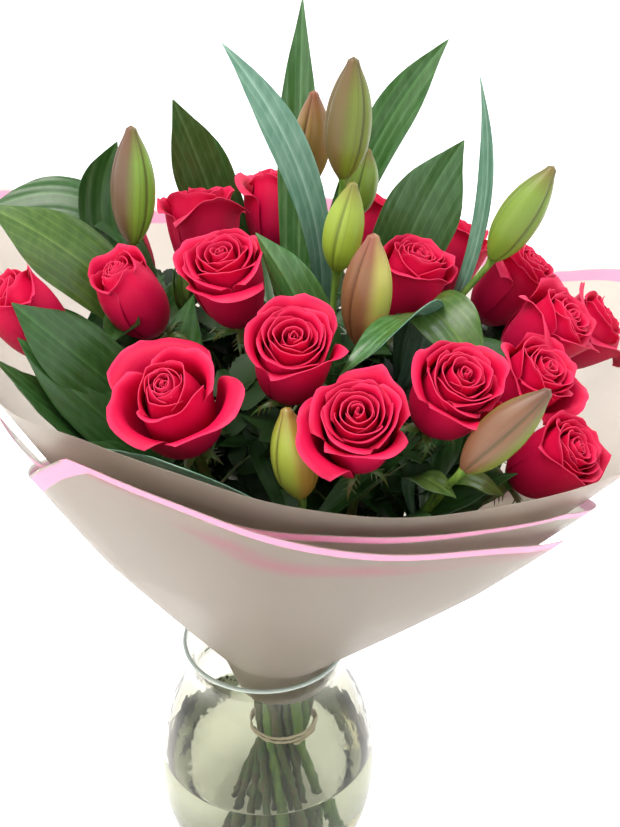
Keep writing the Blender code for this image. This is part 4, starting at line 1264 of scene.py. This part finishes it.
def film_cone():
    """The sheet that goes all round, with its band where the back of the rim shows."""
    columns = CONE_COLUMNS
    top = [0.972, 0.997, 1.0]
    share = np.concatenate([FILM_NECK_ROWS, np.linspace(FILM_NECK, 0.96, FILM_ROWS), top])[:, None]
    bearing = 360 * np.arange(columns) / columns
    share, round_vase = share + 0 * bearing, bearing + 0 * share
    grid = film_points(round_vase, share, 0.0)
    places = np.stack([share, round_vase, FAR + 0 * share], axis=-1).reshape(-1, 3)
    points, faces, slots, places = blade(grid, FILM_THICKNESS, places, (0, 0), closed=True)
    height = len(share) - 1
    for c in range(columns):
        if not UNPRINTED[0] <= bearing[c] <= UNPRINTED[1]:
            at = (height - 2) * columns + c
            slots[at] = slots[height * columns + at] = 1
    part = (points, faces, slots, places)
    assemble("film_back_sheet", [part], [FINISH["film"], FINISH["print"]], "frosted_film", "film_main")


# The whole bouquet, and the studio

def bouquet():
    """Every piece of the bouquet, its vase among them."""
    heads = [(calyx(spec)[0], ROSE_STEM) for spec in ROSES]
    heads += [(np.array(spec["top"], float), LILY_STEM) for spec in LILIES]
    starts = stem_starts(heads)
    vase()
    water()
    for i, spec in enumerate(ROSES):
        rose_stem(i + 1, starts[i], spec)
        rose_bloom(i + 1, spec)
    bud_number = 1
    for i, spec in enumerate(LILIES):
        lily(i + 1, starts[len(ROSES) + i], spec, bud_number)
        bud_number += len(spec["buds"])
    twine(starts, [radius for _, radius in heads])
    film_cone()
    film_sheet("film_middle_sheet", "film_middle", FILM_STEP, "right", **MIDDLE_SHEET)
    film_sheet("film_front_sheet", "film_outer", 2 * FILM_STEP, "left", **FRONT_SHEET, inner=PAINTED_BAND_BEHIND)


def studio():
    """A pale paper floor that sweeps up all round, soft light from above, and the camera over the flowers."""
    scene = bpy.context.scene
    ways = [2 * math.pi * i / SWEEP_SIDES for i in range(SWEEP_SIDES)]
    points = [(radius * math.cos(a), radius * math.sin(a), height) for radius, height in SWEEP for a in ways]
    facing_up = [face[::-1] for face in tube_faces(len(SWEEP), SWEEP_SIDES)]
    mesh = bpy.data.meshes.new("studio_sweep")
    mesh.from_pydata(points, [], facing_up + [list(range(SWEEP_SIDES))])
    mesh.materials.append(studio_paper())
    mesh.shade_smooth()
    sweep = bpy.data.objects.new("studio_sweep", mesh)
    scene.collection.objects.link(sweep)

    scene.world = bpy.data.worlds.new("studio")
    scene.world.use_nodes = True
    connect(scene.world.node_tree.nodes["Background"], {"Color": 0xF4F6FA, "Strength": 0.5})
    for name, place, size, watts, colour in LIGHTS:
        light = bpy.data.lights.new(name, "AREA")
        light.size = size
        light.energy = watts
        light.color = linear(colour)[:3]
        lamp = bpy.data.objects.new(name, light)
        lamp.location = place
        lamp.rotation_euler = (Vector(LIT_POINT) - Vector(place)).to_track_quat("-Z", "Y").to_euler()
        scene.collection.objects.link(lamp)
    scene.view_settings.view_transform = "Standard"

    camera = bpy.data.cameras.new("camera")
    camera.sensor_fit = "VERTICAL"
    camera.sensor_height = SENSOR_HEIGHT
    camera.lens = SENSOR_HEIGHT * FOCAL_LENGTH / PHOTO_HEIGHT
    eye = bpy.data.objects.new("camera", camera)
    eye.location = CAMERA_PLACE
    eye.rotation_euler = (math.radians(CAMERA_TILT), 0, 0)
    scene.collection.objects.link(eye)
    scene.camera = eye


# Finishes, by the names that the tables and the pieces use
FINISH = {
    "petal": rose_petal(),
    "rose stem": stem_skin("rose_stem_skin", 0x3C5E1E, 0x5E4428, 0.45),
    "thorn": stem_skin("thorn", 0x8A5A3C, 0xB0733F),
    "sepal back": rose_leaf_skin("sepal_skin", 0x55762F, 0x8FA45A),
    "rose leaf": rose_leaf_skin("rose_leaf", 0x15300F, 0x2C4A1A),
    "rose leaf back": rose_leaf_skin("rose_leaf_back", 0x2C4A24, 0x45633A),
    "lily stem": stem_skin("lily_stem_skin", 0x4E7428, 0x7C9A3E),
    "deep": lily_leaf_skin("lily_leaf_deep", 0x254A1C, 0x446E38, 0.34),
    # Painted sheen: a lighter leaf green with paler streaks, standing in for light glancing off glossy leaves;
    # the low roughness adds some real gloss too.
    "painted_sheen": lily_leaf_skin("lily_leaf_sheen", 0x305C26, 0x628F5A, 0.3),
    "olive": lily_leaf_skin("lily_leaf_olive", 0x3A5A20, 0x6B8740, 0.36),
    "grey": lily_leaf_skin("lily_leaf_back", 0x42664A, 0x7C9C7E, 0.45),
    "pale": lily_leaf_skin("lily_leaf_pale", 0x4C7862, 0x8DB09C, 0.42),
    "dusky": lily_bud_skin("lily_bud_dusky", 0x66751F, 0x3E3A18, 0x5E4424, 0x5C4424),
    "russet": lily_bud_skin("lily_bud_russet", 0x8A6A33, 0x5A3A20, 0x7A3A2A, 0xA0602F),
    "olive bud": lily_bud_skin("lily_bud_olive", 0x6F8A2C, 0x44521C, 0x6B4A26, 0x7A6A32),
    "lime": lily_bud_skin("lily_bud_lime", 0x8CA233, 0x4C5E1C, 0x6E5A2A, 0x7F8A2E),
    "blush": lily_bud_skin("lily_bud_blush", 0xB3AE52, 0x6A4428, 0x8A4A3C, 0x6E2E2C),
    "rosy": lily_bud_skin("lily_bud_rosy", 0x6C782A, 0x44441A, 0x5C382C, 0x76463A),
    "maroon": lily_bud_skin("lily_bud_maroon", 0x779A34, 0x44301E, 0x64402A, 0x5A2630),
    "golden": lily_bud_skin("lily_bud_golden", 0x9FAE42, 0x5E4A20, 0x8A6A34, 0xA2762F),
    "glass": blown_glass(),
    "lip": polished_lip(),
    "water": still_water(),
    "twine": cotton_twine(),
    "film": frosted_film(),
    "print": pink_print(),
}

bouquet()
studio()
